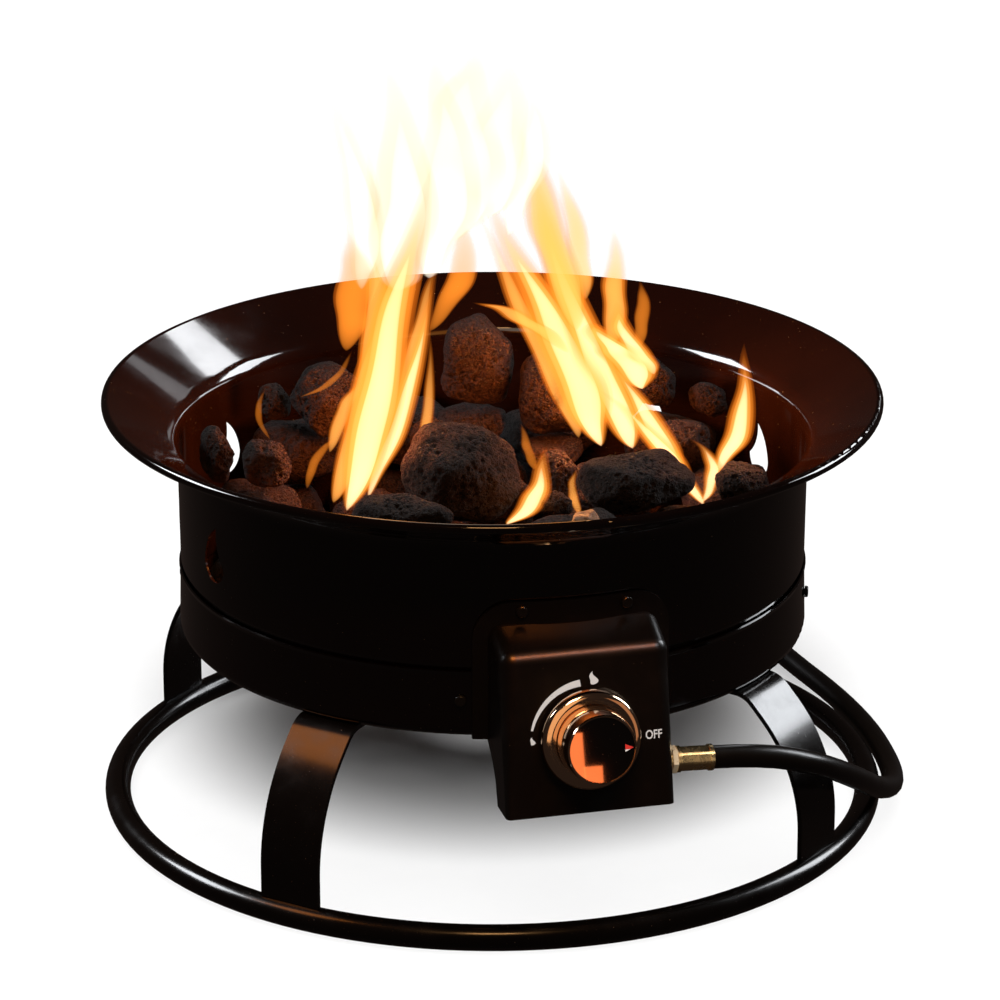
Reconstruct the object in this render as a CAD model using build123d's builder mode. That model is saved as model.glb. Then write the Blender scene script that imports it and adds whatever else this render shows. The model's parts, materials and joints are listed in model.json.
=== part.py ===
"""Portable propane fire pit: an enamelled fire bowl of lava rock over a ring burner, on a ring and four legs,
with its gas valve and knob in a pressed control box, and its hose and regulator.

Millimetres, +Z up. The origin is on the floor, on the axis of the base ring, and the control box faces -Y.
"""

import math
import os

import numpy as np
from build123d import *

os.makedirs("parts", exist_ok=True)

# Overall sizes
rim_diameter = 483
rim_height = 269
bowl_wall_radius = 195.6
seam_height = 160
pan_underside = 118
ring_radius = 238
ring_tube_radius = 8

# Sheet steel and general clearances
sheet = 1.2
slip_gap = 0.3
screw_gap = 0.2
thread_gap = 0.06
weld_gap = 0.15

# Fire bowl
flare_angle = 30
lip_radius = 3
lip_turn = 205
throat_bend = 14
wall_taper = 0.8
joggle_height = 4.5
skirt_depth = 26
skirt_slot_height = 33
skirt_slot_radius = 11
vent_width = 24
vent_height = 36
vent_foot_height = 179
vent_tip_side = 4
vent_lee_bulge = 5
vent_luff_bulge = 9
vent_bulge_height = 22
vent_angles = (-74, -104, -134, 74, 104, 134)

# Lower pan
pan_corner_bend = 6
pan_lip_height = 2.5
pan_lip_flare = 0.8
pan_draft = 1.0
pan_dish_radius = 106
pan_dish_rise = 3
air_hole_radius = 5
air_hole_ring = 86
air_hole_count = 12
centre_hole_radius = 26
pan_screw_height = 141.7
pan_screw_angles = (-19.7, 70.3, 160.3, 250.3)
screw_radius = 1.9
screw_head_radius = 3.6
screw_head_height = 2.2
screw_tail = 5

# Legs and their bolts
leg_width = 40
leg_thickness = 3
leg_inner_reach = 140
leg_shoulder_reach = 198
leg_shoulder_bend = 18
leg_knee_bend = 100
leg_corner = 7.6
leg_slope = 45.5
leg_angles = {"front_right": -48.2, "back_right": 45, "back_left": 135, "front_left": 225.4}
bolt_radius = 3
bolt_head_radius = 6
bolt_head_height = 3.2
bolt_reaches = (151, 173)
nut_flats = 10
nut_height = 5
bolt_end = 1.5

# Burner
burner_radius = 85
burner_tube_radius = 9.5
burner_height = 136
port_radius = 1.6
port_depth = 3
port_count = 24
mixer_bore = 8
mixer_mouth = 181
shutter_length = 26
shutter_wall = 1.2
shutter_window = 9
bracket_width = 16
bracket_sheet = 1.5
bracket_angles = (-30, 90, 210)
bracket_reach = 132
bracket_step_reach = 112
bracket_top_reach = 108
bracket_tip = 76
bracket_bend = 2

# Control box, pressed from steel and screwed to the wall through its flange
box_half_width = 51.2
box_sheet = 2
box_base_height = 85
box_base_reach = 236.5
face_tilt = 8.5
box_shoulder_height = 182
box_ridge_height = 191
box_fillet = 9
box_foot_fillet = 3.5
box_taper_height = 165
box_run_back = 50
box_cheek_edge = [(-189, 118), (-200.5, 110), (-209.5, 99), (-215, 83)]
flange_half_width = 60
flange_top_height = 205
flange_corner = 24
flange_screw_height = 199.5
flange_screw_angles = (-9.2, 9.2)

# Gas valve, on the axis square to the box's face
knob_height = 130
neck_radius = 7
neck_length = 6
valve_shoulder_radius = 12
valve_shoulder_depth = 6
valve_barrel_radius = 11
valve_barrel_depth = 28
plug_radius = 6
plug_top_depth = 12
plug_bottom_depth = 25.4
running_gap = 0.05
spring_bore = 4.4
stem_radius = 3
stem_collar_radius = 4.2
stem_collar_height = 2
stem_top = 18
press_travel = 3
stem_room = 0.5
neck_lip = 1.5
panel_nut_flats = 19
panel_nut_height = 3
end_cap_thickness = 2.5
end_cap_key = 4
inlet_setback = 20.5
outlet_boss_radius = 8
outlet_boss_length = 17
inlet_boss_radius = 7.5
inlet_boss_end = 112.5
jet_radius = 3.4
jet_flats = 11
jet_flats_length = 2.4
jet_entry = 6
jet_bore = 0.9
jet_opening_radius = 6.5
gas_way_radius = 1.7

# Knob
knob_lift = 3.7
knob_skirt_radius = 30.3
knob_groove_radius = 21.2
knob_cap_radius = 22.2
knob_front_radius = 20.8
knob_skirt_height = 7
knob_skirt_round = 5.4
knob_edge = 1
knob_cap_bulge = 0.4
knob_cap_base = 8.8
knob_length = 27.3
knob_rim_wall = 1.1
knob_face_depth = 1.2
knob_recess_radius = 20
knob_recess_depth = 6.3
pointer_length = 5
pointer_width = 4.6
pointer_thickness = 0.4
pointer_reach = 13.6

# Brass inlet and hose
exit_height = 106.8
exit_droop = 2.5
elbow_depth = 13
elbow_radius = 7.5
elbow_arm_radius = 5.5
elbow_arm_end = 54
arm_hole_gap = 1
collar_radius = 8.4
collar_length = 3
ferrule_radius = 7.6
ferrule_bead_radius = 8
ferrule_bead = 2.4
ferrule_length = 22.5
crimp_depth = 0.3
crimp_count = 8
hose_radius = 7
hose_lead = 31

# Hose coil, put away behind the fire pit
coil_centre = (142, 334)
coil_outer_radius = 91.8
coil_pitch = 14.6
coil_floor = 8.5
coil_half_turns = 5
coil_climb = 1.6
coil_tail = 38
tie_width = 12
tie_wall = 1
tie_gap = 0.4

# Regulator and cylinder connector
regulator_radius = 36
regulator_rim_radius = 40
regulator_rim_height = 34
regulator_rim_thickness = 3
bonnet_height = 52
bonnet_base_radius = 30.5
bonnet_top_radius = 22
vent_cap_radius = 12
vent_cap_height = 8
vent_notch_count = 12
vent_notch_radius = 1
regulator_floor = 0.3
regulator_bottom_round = 8
regulator_screw_count = 6
regulator_screw_start = 30
bonnet_round = 3
port_boss_radius = 9
port_boss_length = 10
nipple_radius = 8
nipple_flats = 22
nipple_flats_length = 8
nipple_length = 44
nipple_nose_radius = 6.5
nipple_nose_length = 8
nipple_nose_chamfer = 1.6
nipple_bore = 2.5
hand_nut_radius = 21.3
hand_nut_length = 28
hand_nut_bore = 16.4
hand_nut_thread_length = 18
hand_nut_flutes = 12
flute_radius = 2.4

# Lava rock
stone_gap = 0.8
top_first = 70
pebble_first = 90
stone_grid = 1.0
cut_count = 14
cut_depth = 0.97
cut_spread = 0.07


def radial_plane(angle, height=0.0):
    """Upright plane through the axis: x runs outwards at this angle, y runs up."""
    across = math.radians(angle)
    return Plane(
        origin=(0, 0, height),
        x_dir=(math.cos(across), math.sin(across), 0),
        z_dir=(math.sin(across), -math.cos(across), 0),
    )


def wall_plane(angle, height, reach):
    """Plane that faces outwards at this reach, its x level and its y up."""
    across = math.radians(angle)
    return Plane(
        origin=(reach * math.cos(across), reach * math.sin(across), height),
        x_dir=(-math.sin(across), math.cos(across), 0),
        z_dir=(math.cos(across), math.sin(across), 0),
    )


def from_front(angle):
    """Angle from +X of a feature that is given by its angle from the front, -Y, towards +X."""
    return angle - 90


def finish(piece, name):
    """Names a finished sub-part and writes it."""
    piece.part.label = name
    export_step(piece.part, f"parts/{name}.step")


rim_radius = rim_diameter / 2
floor_top = pan_underside + sheet
inlet_reach = box_base_reach - inlet_setback
outlet_boss_end = inlet_reach - outlet_boss_length
jet_tip_reach = mixer_mouth - jet_entry
pan_radius = bowl_wall_radius - wall_taper + slip_gap
pan_foot_radius = pan_radius + pan_draft
skirt_outer_radius = pan_radius - sheet - slip_gap
skirt_bottom = seam_height - skirt_depth

# Base ring
with BuildPart() as base_ring:
    with BuildSketch(Plane.XZ):
        with Locations((ring_radius, ring_tube_radius)):
            Circle(ring_tube_radius)
    revolve(axis=Axis.Z)
finish(base_ring, "base_ring")

# Legs: flat bar, level under the pan, sloped, then bowed upright to stand on top of the ring
foot_reach = ring_radius + leg_thickness / 2
foot_height = 2 * ring_tube_radius + weld_gap
knee_drop = (foot_reach - leg_shoulder_reach) * math.tan(math.radians(leg_slope))
shoulder_room = leg_shoulder_bend * math.tan(math.radians(leg_slope / 2))
knee_room = (foot_reach - leg_shoulder_reach) / math.cos(math.radians(leg_slope)) - shoulder_room
knee_bend = min(leg_knee_bend, 0.9 * knee_room / math.tan(math.radians((90 - leg_slope) / 2)))
for side, angle in leg_angles.items():
    with BuildPart() as leg:
        with BuildSketch(radial_plane(angle)):
            with BuildLine():
                FilletPolyline(
                    (leg_inner_reach, pan_underside),
                    (leg_shoulder_reach, pan_underside),
                    (foot_reach, pan_underside - knee_drop),
                    (foot_reach, foot_height),
                    radius=[leg_shoulder_bend, knee_bend],
                )
                offset(amount=leg_thickness, side=Side.RIGHT)
            make_face()
        extrude(amount=leg_width / 2, both=True)
        with Locations(*[radial_plane(angle).from_local_coords((reach, 0, 0)) for reach in bolt_reaches]):
            Cylinder(bolt_radius + screw_gap, 3 * pan_underside, mode=Mode.SUBTRACT)
        inner_corners = leg.edges().filter_by(Axis.Z).sort_by(lambda e: (e @ 0.5).X ** 2 + (e @ 0.5).Y ** 2)[:2]
        fillet(inner_corners, leg_corner)
    finish(leg, f"leg_{side}")

bolt_spots = [
    (reach * math.cos(math.radians(angle)), reach * math.sin(math.radians(angle)))
    for angle in leg_angles.values()
    for reach in bolt_reaches
]
nut_top = pan_underside - leg_thickness
with BuildPart() as leg_bolts:
    with BuildSketch(Plane.XY.offset(floor_top)):
        with Locations(*bolt_spots):
            Circle(bolt_head_radius)
    extrude(amount=bolt_head_height)
    fillet(leg_bolts.edges().group_by(Axis.Z)[-1], bolt_head_height / 2)
    with BuildSketch(Plane.XY.offset(floor_top)):
        with Locations(*bolt_spots):
            Circle(bolt_radius)
    extrude(amount=-(sheet + leg_thickness + nut_height + bolt_end))
finish(leg_bolts, "leg_bolts")

with BuildPart() as leg_nuts:
    with BuildSketch(Plane.XY.offset(nut_top)):
        with Locations(*bolt_spots):
            RegularPolygon(nut_flats / 2, 6, major_radius=False)
            Circle(bolt_radius + thread_gap, mode=Mode.SUBTRACT)
    extrude(amount=-nut_height)
finish(leg_nuts, "leg_nuts")

# Lower pan, with a raised dish in its floor and a lip turned out round its top
with BuildPart() as base_pan:
    with BuildSketch(Plane.XZ):
        with BuildLine():
            FilletPolyline(
                (centre_hole_radius, pan_underside + pan_dish_rise),
                (pan_dish_radius, pan_underside + pan_dish_rise),
                (pan_dish_radius + 2 * pan_dish_rise, pan_underside),
                (pan_foot_radius, pan_underside),
                (pan_radius, seam_height - pan_lip_height),
                (pan_radius + pan_lip_flare, seam_height),
                radius=[pan_dish_rise, pan_dish_rise, pan_corner_bend, pan_lip_height],
            )
            offset(amount=sheet, side=Side.LEFT)
        make_face()
    revolve(axis=Axis.Z)
    with PolarLocations(air_hole_ring, air_hole_count):
        Cylinder(air_hole_radius, 3 * pan_underside, mode=Mode.SUBTRACT)
    with Locations(*bolt_spots):
        Cylinder(bolt_radius + screw_gap, 3 * pan_underside, mode=Mode.SUBTRACT)
    for angle in pan_screw_angles:
        with BuildSketch(wall_plane(from_front(angle), pan_screw_height, 0)):
            Circle(screw_radius + screw_gap)
        extrude(amount=rim_radius, mode=Mode.SUBTRACT)
    with BuildSketch(wall_plane(from_front(0), burner_height, 0)):
        Circle(jet_opening_radius)
    extrude(amount=rim_radius, mode=Mode.SUBTRACT)
finish(base_pan, "base_pan")

# Fire bowl: skirt inside the pan, joggle at the seam, wall, flared rim and rolled lip
lip_rise = math.cos(math.radians(flare_angle))
lip_run = math.sin(math.radians(flare_angle))
flare_end = (rim_radius - lip_radius - lip_radius * lip_run, rim_height - lip_radius + lip_radius * lip_rise)
wall_inner_radius = bowl_wall_radius - sheet
throat_height = flare_end[1] - (flare_end[0] - wall_inner_radius) * math.tan(math.radians(flare_angle))
with BuildPart() as fire_bowl:
    with BuildSketch(Plane.XZ):
        with BuildLine():
            wall = FilletPolyline(
                (skirt_outer_radius - sheet, skirt_bottom),
                (skirt_outer_radius - sheet, seam_height + slip_gap),
                (wall_inner_radius - wall_taper, seam_height + joggle_height),
                (wall_inner_radius, throat_height),
                flare_end,
                radius=[sheet, sheet, throat_bend],
            )
            JernArc(wall @ 1, wall % 1, lip_radius, -lip_turn)
            offset(amount=sheet, side=Side.RIGHT)
        make_face()
    revolve(axis=Axis.Z)
    for angle in vent_angles:
        with BuildSketch(wall_plane(from_front(angle), vent_foot_height, 0)):
            with BuildLine():
                half = vent_width / 2
                foot = ThreePointArc((-half, half), (0, 0), (half, half))
                lee = ThreePointArc(foot @ 1, (vent_lee_bulge, vent_bulge_height), (vent_tip_side, vent_height))
                ThreePointArc(lee @ 1, (-vent_luff_bulge, vent_bulge_height), foot @ 0)
            make_face()
        extrude(amount=rim_radius, mode=Mode.SUBTRACT)
    for angle in pan_screw_angles:
        with BuildSketch(wall_plane(from_front(angle), pan_screw_height, 0)):
            Circle(screw_radius + screw_gap)
        extrude(amount=rim_radius, mode=Mode.SUBTRACT)
    for angle in flange_screw_angles:
        with BuildSketch(wall_plane(from_front(angle), flange_screw_height, 0)):
            Circle(screw_radius + screw_gap)
        extrude(amount=rim_radius, mode=Mode.SUBTRACT)
    with BuildSketch(wall_plane(from_front(0), burner_height, 0)):
        SlotOverall(skirt_slot_height, 2 * skirt_slot_radius, rotation=90)
    extrude(amount=rim_radius, mode=Mode.SUBTRACT)
finish(fire_bowl, "fire_bowl")


def wall_screws(spots, length):
    """Pan-head screws through a wall: spots hold the angle from the front, the height and the head's seat."""
    with BuildPart() as screws:
        for angle, height, seat in spots:
            with BuildSketch(wall_plane(from_front(angle), height, seat)):
                Circle(screw_head_radius)
            head = extrude(amount=screw_head_height)
            fillet(head.edges().sort_by_distance((0, 0, height))[-1], screw_head_height / 2)
            with BuildSketch(wall_plane(from_front(angle), height, seat)):
                Circle(screw_radius)
            extrude(amount=-length)
    return screws


pan_radius_at_screw = pan_radius + pan_draft * (seam_height - pan_screw_height) / (seam_height - pan_underside)
pan_screws = wall_screws(
    [(angle, pan_screw_height, pan_radius_at_screw + screw_gap) for angle in pan_screw_angles],
    2 * sheet + slip_gap + screw_tail,
)
finish(pan_screws, "pan_screws")

# Ring burner with its gas ports, and the mixer tube that feeds it from the front
with BuildPart() as burner_ring:
    with BuildSketch(Plane.XZ):
        with Locations((burner_radius, burner_height)):
            Circle(burner_tube_radius)
    revolve(axis=Axis.Z)
    with BuildSketch(Plane.XY.offset(burner_height + burner_tube_radius - port_depth)):
        with PolarLocations(burner_radius, port_count):
            Circle(port_radius)
    extrude(amount=2 * port_depth, mode=Mode.SUBTRACT)
finish(burner_ring, "burner_ring")

with BuildPart() as mixer_tube:
    with BuildSketch(Plane.XZ):
        with Locations((0, burner_height)):
            Circle(burner_tube_radius)
    extrude(amount=mixer_mouth)
    with BuildSketch(Plane.XZ):
        with Locations((0, burner_height)):
            Circle(mixer_bore)
    extrude(amount=mixer_mouth, mode=Mode.SUBTRACT)
    Cylinder(burner_radius, 3 * burner_height, mode=Mode.SUBTRACT)
    with BuildSketch(Plane.XZ):
        with Locations((burner_radius, burner_height)):
            Circle(burner_tube_radius + weld_gap)
    revolve(axis=Axis.Z, mode=Mode.SUBTRACT)
    with Locations((0, -(mixer_mouth - shutter_length / 2), burner_height)):
        Box(4 * mixer_bore, shutter_window, mixer_bore, mode=Mode.SUBTRACT)
finish(mixer_tube, "mixer_tube")

with BuildPart() as air_shutter:
    with BuildSketch(Plane.XZ.offset(mixer_mouth - shutter_length)):
        with Locations((0, burner_height)):
            Circle(burner_tube_radius + running_gap + shutter_wall)
            Circle(burner_tube_radius + running_gap, mode=Mode.SUBTRACT)
    extrude(amount=shutter_length)
    with Locations((0, -(mixer_mouth - shutter_length / 2), burner_height)):
        Box(4 * mixer_bore, shutter_window, mixer_bore, mode=Mode.SUBTRACT)
finish(air_shutter, "air_shutter")

bracket_rise = burner_height - burner_tube_radius - bracket_sheet - weld_gap
with BuildPart() as burner_brackets:
    for angle in bracket_angles:
        with BuildSketch(radial_plane(angle)):
            with BuildLine():
                FilletPolyline(
                    (bracket_reach, floor_top),
                    (bracket_step_reach, floor_top),
                    (bracket_top_reach, bracket_rise),
                    (bracket_tip, bracket_rise),
                    radius=[bracket_bend, bracket_bend],
                )
                offset(amount=bracket_sheet, side=Side.RIGHT)
            make_face()
        extrude(amount=bracket_width / 2, both=True)
finish(burner_brackets, "burner_brackets")

# Control box: hood with a sloping roof and a face that leans back, open below, and its flange on the wall
tilt = math.radians(face_tilt)
flange_inner_radius = pan_radius + pan_lip_flare + slip_gap
flange_outer_radius = flange_inner_radius + box_sheet
shoulder_reach = box_base_reach - (box_shoulder_height - box_base_height) * math.tan(tilt)
behind_wall = bowl_wall_radius - box_run_back

face_reach = box_base_reach - (knob_height - box_base_height) * math.tan(tilt)
knob_centre = (0, -face_reach, knob_height)
knob_way = (0, -math.cos(tilt), math.sin(tilt))
knob_plane = Plane(origin=knob_centre, x_dir=(1, 0, 0), z_dir=knob_way)
knob_section = Plane(origin=knob_centre, x_dir=(1, 0, 0), z_dir=(0, -math.sin(tilt), -math.cos(tilt)))
knob_axis = Axis(knob_centre, knob_way)
droop = math.radians(exit_droop)
exit_plane = Plane(
    origin=(0, -inlet_reach, exit_height), x_dir=(0, 1, 0), z_dir=(math.cos(droop), 0, -math.sin(droop))
)


def hood(inset):
    """Hood's outside, or its inside, drawn in by the sheet; its upright corners grow tighter towards the foot."""
    front = inset / math.cos(tilt)
    foot = box_base_height - (0 if inset == 0 else box_fillet + inset)
    foot_reach = box_base_reach - (foot - box_base_height) * math.tan(tilt) - front
    with BuildPart() as block:
        with BuildSketch(Plane.YZ):
            with BuildLine():
                Polyline(
                    (-behind_wall, box_ridge_height - inset),
                    (-flange_inner_radius, box_ridge_height - inset),
                    (-shoulder_reach + front - inset * math.tan(tilt), box_shoulder_height - inset),
                    (-foot_reach, foot),
                    (-behind_wall, foot),
                    close=True,
                )
            make_face()
        extrude(amount=box_half_width - inset, both=True)
        front_edges = block.faces().sort_by(Axis.Y)[0].edges().sort_by(Axis.Z)[1:]
        side_edges = block.edges().filter_by(lambda e: abs(abs((e @ 0.5).X) - box_half_width + inset) < slip_gap)
        roof_edges = side_edges.filter_by(lambda e: (e @ 0.5).Z > box_shoulder_height - inset)
        fillet(ShapeList(front_edges + roof_edges), box_fillet - inset)
        split(bisect_by=Plane.XY.offset(box_taper_height), keep=Keep.TOP)
        with BuildSketch(Plane.XY.offset(foot), mode=Mode.PRIVATE) as base:
            with Locations((0, -(foot_reach + behind_wall) / 2)):
                outline = Rectangle(2 * (box_half_width - inset), foot_reach - behind_wall)
            fillet(outline.vertices().group_by(Axis.Y)[0], box_foot_fillet - inset)
        loft([base.sketch.face(), block.faces().sort_by(Axis.Z)[0]], ruled=True)
    return block.part


with BuildPart() as control_box:
    with BuildSketch(Plane.XY.offset(pan_underside + slip_gap)):
        Circle(flange_outer_radius)
        Circle(flange_inner_radius, mode=Mode.SUBTRACT)
    extrude(amount=flange_top_height - pan_underside)
    with BuildSketch(Plane.XZ.offset(behind_wall)):
        with Locations((0, (flange_top_height + pan_underside - flange_corner) / 2)):
            outline = Rectangle(2 * flange_half_width, flange_top_height - pan_underside + flange_corner)
        fillet(outline.vertices().group_by(Axis.Y)[-1], flange_corner)
    extrude(amount=rim_radius, mode=Mode.INTERSECT)
    add(hood(0))
    add(hood(box_sheet), mode=Mode.SUBTRACT)
    with BuildSketch(Plane.XY.offset(pan_underside - pan_corner_bend)):
        Circle(flange_inner_radius)
    extrude(amount=rim_height, mode=Mode.SUBTRACT)
    with BuildSketch(Plane.YZ):
        with BuildLine():
            cheek = ThreePointArc(*box_cheek_edge[:3])
            Polyline(cheek @ 1, box_cheek_edge[3], (0, box_cheek_edge[3][1]), (0, box_cheek_edge[0][1]), cheek @ 0)
        make_face()
    extrude(amount=rim_radius, both=True, mode=Mode.SUBTRACT)
    with BuildSketch(Plane.YZ.offset(box_half_width - 2 * box_sheet)):
        with Locations((-inlet_reach, exit_height - box_half_width * math.tan(droop))):
            Circle(elbow_arm_radius + arm_hole_gap)
    extrude(amount=4 * box_sheet, mode=Mode.SUBTRACT)
    with BuildSketch(knob_plane.offset(-2 * box_sheet)):
        Circle(neck_radius + screw_gap)
    extrude(amount=3 * box_sheet, mode=Mode.SUBTRACT)
    for angle in flange_screw_angles:
        with BuildSketch(wall_plane(from_front(angle), flange_screw_height, 0)):
            Circle(screw_radius + screw_gap)
        extrude(amount=rim_radius, mode=Mode.SUBTRACT)
finish(control_box, "control_box")

flange_screw_seat = flange_outer_radius + screw_gap
flange_screws = wall_screws(
    [(angle, flange_screw_height, flange_screw_seat) for angle in flange_screw_angles],
    box_sheet + sheet + screw_tail,
)
finish(flange_screws, "flange_screws")

# Gas valve: barrel with a plug bore, a neck through the face, an outlet boss above and an inlet boss below
with BuildPart() as valve_body:
    with BuildSketch(knob_plane.offset(-valve_barrel_depth)):
        Circle(valve_barrel_radius)
    extrude(amount=valve_barrel_depth - box_sheet)
    with BuildSketch(knob_plane.offset(-valve_shoulder_depth)):
        Circle(valve_shoulder_radius)
    extrude(amount=valve_shoulder_depth - box_sheet)
    with BuildSketch(knob_plane.offset(-valve_shoulder_depth)):
        Circle(neck_radius)
    extrude(amount=valve_shoulder_depth + neck_length)
    with BuildSketch(Plane.XZ.offset(outlet_boss_end)):
        with Locations((0, burner_height)):
            Circle(outlet_boss_radius)
    extrude(amount=inlet_reach - outlet_boss_end)
    with BuildSketch(Plane.XY.offset(inlet_boss_end)):
        with Locations((0, -inlet_reach)):
            Circle(inlet_boss_radius)
    extrude(amount=knob_height - inlet_boss_end)
    with BuildSketch(knob_plane.offset(-valve_barrel_depth)):
        Circle(plug_radius + running_gap)
    extrude(amount=valve_barrel_depth - plug_top_depth + running_gap, mode=Mode.SUBTRACT)
    with BuildSketch(knob_plane.offset(-plug_top_depth)):
        Circle(spring_bore)
    extrude(amount=plug_top_depth + neck_length - neck_lip, mode=Mode.SUBTRACT)
    with BuildSketch(knob_plane.offset(-plug_top_depth)):
        Circle(stem_radius + running_gap)
    extrude(amount=plug_top_depth + 2 * neck_length, mode=Mode.SUBTRACT)
    with BuildSketch(Plane.XZ.offset(outlet_boss_end)):
        with Locations((0, burner_height)):
            Circle(gas_way_radius)
    extrude(amount=outlet_boss_radius, mode=Mode.SUBTRACT)
finish(valve_body, "valve_body")

with BuildPart() as valve_end_cap:
    with BuildSketch(knob_plane.offset(-valve_barrel_depth)):
        Circle(plug_radius)
        RectangleRounded(end_cap_key, end_cap_key, running_gap, mode=Mode.SUBTRACT)
    extrude(amount=end_cap_thickness)
finish(valve_end_cap, "valve_end_cap")

stem_tip_depth = plug_top_depth + 2 * stem_collar_radius
with BuildPart() as valve_plug:
    with BuildSketch(knob_plane.offset(-plug_bottom_depth)):
        Circle(plug_radius)
    extrude(amount=plug_bottom_depth - plug_top_depth)
    with BuildSketch(knob_plane.offset(-plug_top_depth)):
        Circle(stem_radius + running_gap)
    extrude(amount=-(stem_tip_depth - plug_top_depth + press_travel + stem_room), mode=Mode.SUBTRACT)
    with BuildSketch(Plane.XY.offset(inlet_boss_end)):
        with Locations((0, -inlet_reach)):
            Circle(gas_way_radius)
    extrude(amount=inlet_boss_radius, mode=Mode.SUBTRACT)
finish(valve_plug, "valve_plug")

collar_top = neck_length - neck_lip - running_gap
with BuildPart() as valve_stem:
    with BuildSketch(knob_plane.offset(-stem_tip_depth)):
        Circle(stem_radius)
    extrude(amount=stem_tip_depth + stem_top)
    with BuildSketch(knob_plane.offset(collar_top - stem_collar_height)):
        Circle(stem_collar_radius)
    extrude(amount=stem_collar_height)
finish(valve_stem, "valve_stem")

with BuildPart() as stem_spring:
    with BuildSketch(knob_plane.offset(running_gap - plug_top_depth)):
        Circle(stem_collar_radius)
        Circle(stem_radius + 2 * running_gap, mode=Mode.SUBTRACT)
    extrude(amount=plug_top_depth + collar_top - stem_collar_height - 2 * running_gap)
finish(stem_spring, "stem_spring")

with BuildPart() as panel_nut:
    with BuildSketch(knob_plane):
        RegularPolygon(panel_nut_flats / 2, 6, major_radius=False)
        Circle(neck_radius + thread_gap, mode=Mode.SUBTRACT)
    extrude(amount=panel_nut_height)
finish(panel_nut, "panel_nut")

with BuildPart() as gas_jet:
    with BuildSketch(Plane.XZ.offset(jet_tip_reach)):
        with Locations((0, burner_height)):
            Circle(jet_radius)
    extrude(amount=outlet_boss_end - jet_tip_reach)
    with BuildSketch(Plane.XZ.offset(outlet_boss_end - jet_flats_length)):
        with Locations((0, burner_height)):
            RegularPolygon(jet_flats / 2, 6, major_radius=False)
    extrude(amount=jet_flats_length)
    chamfer(gas_jet.edges().sort_by(Axis.Y)[-1], jet_radius / 2)
    with BuildSketch(Plane.XZ.offset(jet_tip_reach)):
        with Locations((0, burner_height)):
            Circle(jet_bore)
    extrude(amount=rim_radius, mode=Mode.SUBTRACT)
finish(gas_jet, "gas_jet")

# Knob: rolled skirt, groove, tapered cap with a thin rim round its dark face, hollow over the nut
knob_top = knob_lift + knob_length
knob_roof = knob_lift + knob_recess_depth
face_seat = knob_top - knob_face_depth
groove_top = knob_lift + knob_cap_base
skirt_top = knob_lift + knob_skirt_height
with BuildPart() as knob_body:
    with BuildSketch(knob_section):
        with BuildLine():
            skirt = Polyline(
                (knob_recess_radius, knob_lift),
                (knob_skirt_radius - knob_edge, knob_lift),
                (knob_skirt_radius, knob_lift + knob_edge),
                (knob_skirt_radius, skirt_top - knob_skirt_round),
            )
            shoulder = JernArc(skirt @ 1, (0, 1), knob_skirt_round, 90)
            groove = Polyline(
                shoulder @ 1,
                (knob_groove_radius, skirt_top),
                (knob_groove_radius, groove_top),
                (knob_cap_radius, groove_top),
            )
            flank = ThreePointArc(
                groove @ 1,
                ((knob_cap_radius + knob_front_radius) / 2 + knob_cap_bulge, (groove_top + knob_top) / 2),
                (knob_front_radius, knob_top - knob_edge),
            )
            Polyline(
                flank @ 1,
                (knob_front_radius - knob_edge / 2, knob_top),
                (knob_front_radius - knob_rim_wall, knob_top),
                (knob_front_radius - knob_rim_wall, face_seat),
                (0, face_seat),
                (0, stem_top),
                (stem_radius + running_gap / 2, stem_top),
                (stem_radius + running_gap / 2, knob_roof),
                (knob_recess_radius, knob_roof),
                skirt @ 0,
            )
        make_face()
    revolve(axis=knob_axis)
finish(knob_body, "knob_body")

with BuildPart() as knob_face:
    with BuildSketch(knob_plane.offset(face_seat)):
        Circle(knob_front_radius - knob_rim_wall - screw_gap)
    extrude(amount=knob_face_depth / 2)
finish(knob_face, "knob_face")

with BuildPart() as knob_pointer:
    with BuildSketch(knob_plane.offset(face_seat + knob_face_depth / 2)):
        with Locations((pointer_reach, 0)):
            Polygon((0, -pointer_width / 2), (pointer_length, 0), (0, pointer_width / 2), align=None)
    extrude(amount=pointer_thickness)
finish(knob_pointer, "knob_pointer")

# Brass elbow under the valve, its arm out through the side of the box, and the crimped hose ferrule
with BuildPart() as inlet_elbow:
    with BuildSketch(Plane.XY.offset(inlet_boss_end)):
        with Locations((0, -inlet_reach)):
            Circle(elbow_radius)
    extrude(amount=-elbow_depth)
    with BuildSketch(exit_plane):
        Circle(elbow_arm_radius)
    extrude(amount=elbow_arm_end)
finish(inlet_elbow, "inlet_elbow")

with BuildPart() as inlet_collar:
    with BuildSketch(exit_plane.offset(elbow_arm_end)):
        RegularPolygon(collar_radius, 6)
    extrude(amount=collar_length)
finish(inlet_collar, "inlet_collar")


def crimped_ferrule(plane):
    """Crimped hose ferrule along this plane's normal, with a bead at each end and pressed flats between."""
    with BuildPart() as ferrule:
        with BuildSketch(plane):
            Circle(ferrule_bead_radius)
        extrude(amount=ferrule_bead)
        with BuildSketch(plane.offset(ferrule_length - ferrule_bead)):
            Circle(ferrule_bead_radius)
        extrude(amount=ferrule_bead)
        with BuildSketch(plane):
            Circle(ferrule_radius)
            RegularPolygon(ferrule_radius - crimp_depth, crimp_count, major_radius=False, mode=Mode.INTERSECT)
        extrude(amount=ferrule_length)
    return ferrule


ferrule_start = elbow_arm_end + collar_length
hose_ferrule = crimped_ferrule(exit_plane.offset(ferrule_start))
finish(hose_ferrule, "hose_ferrule")

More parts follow.
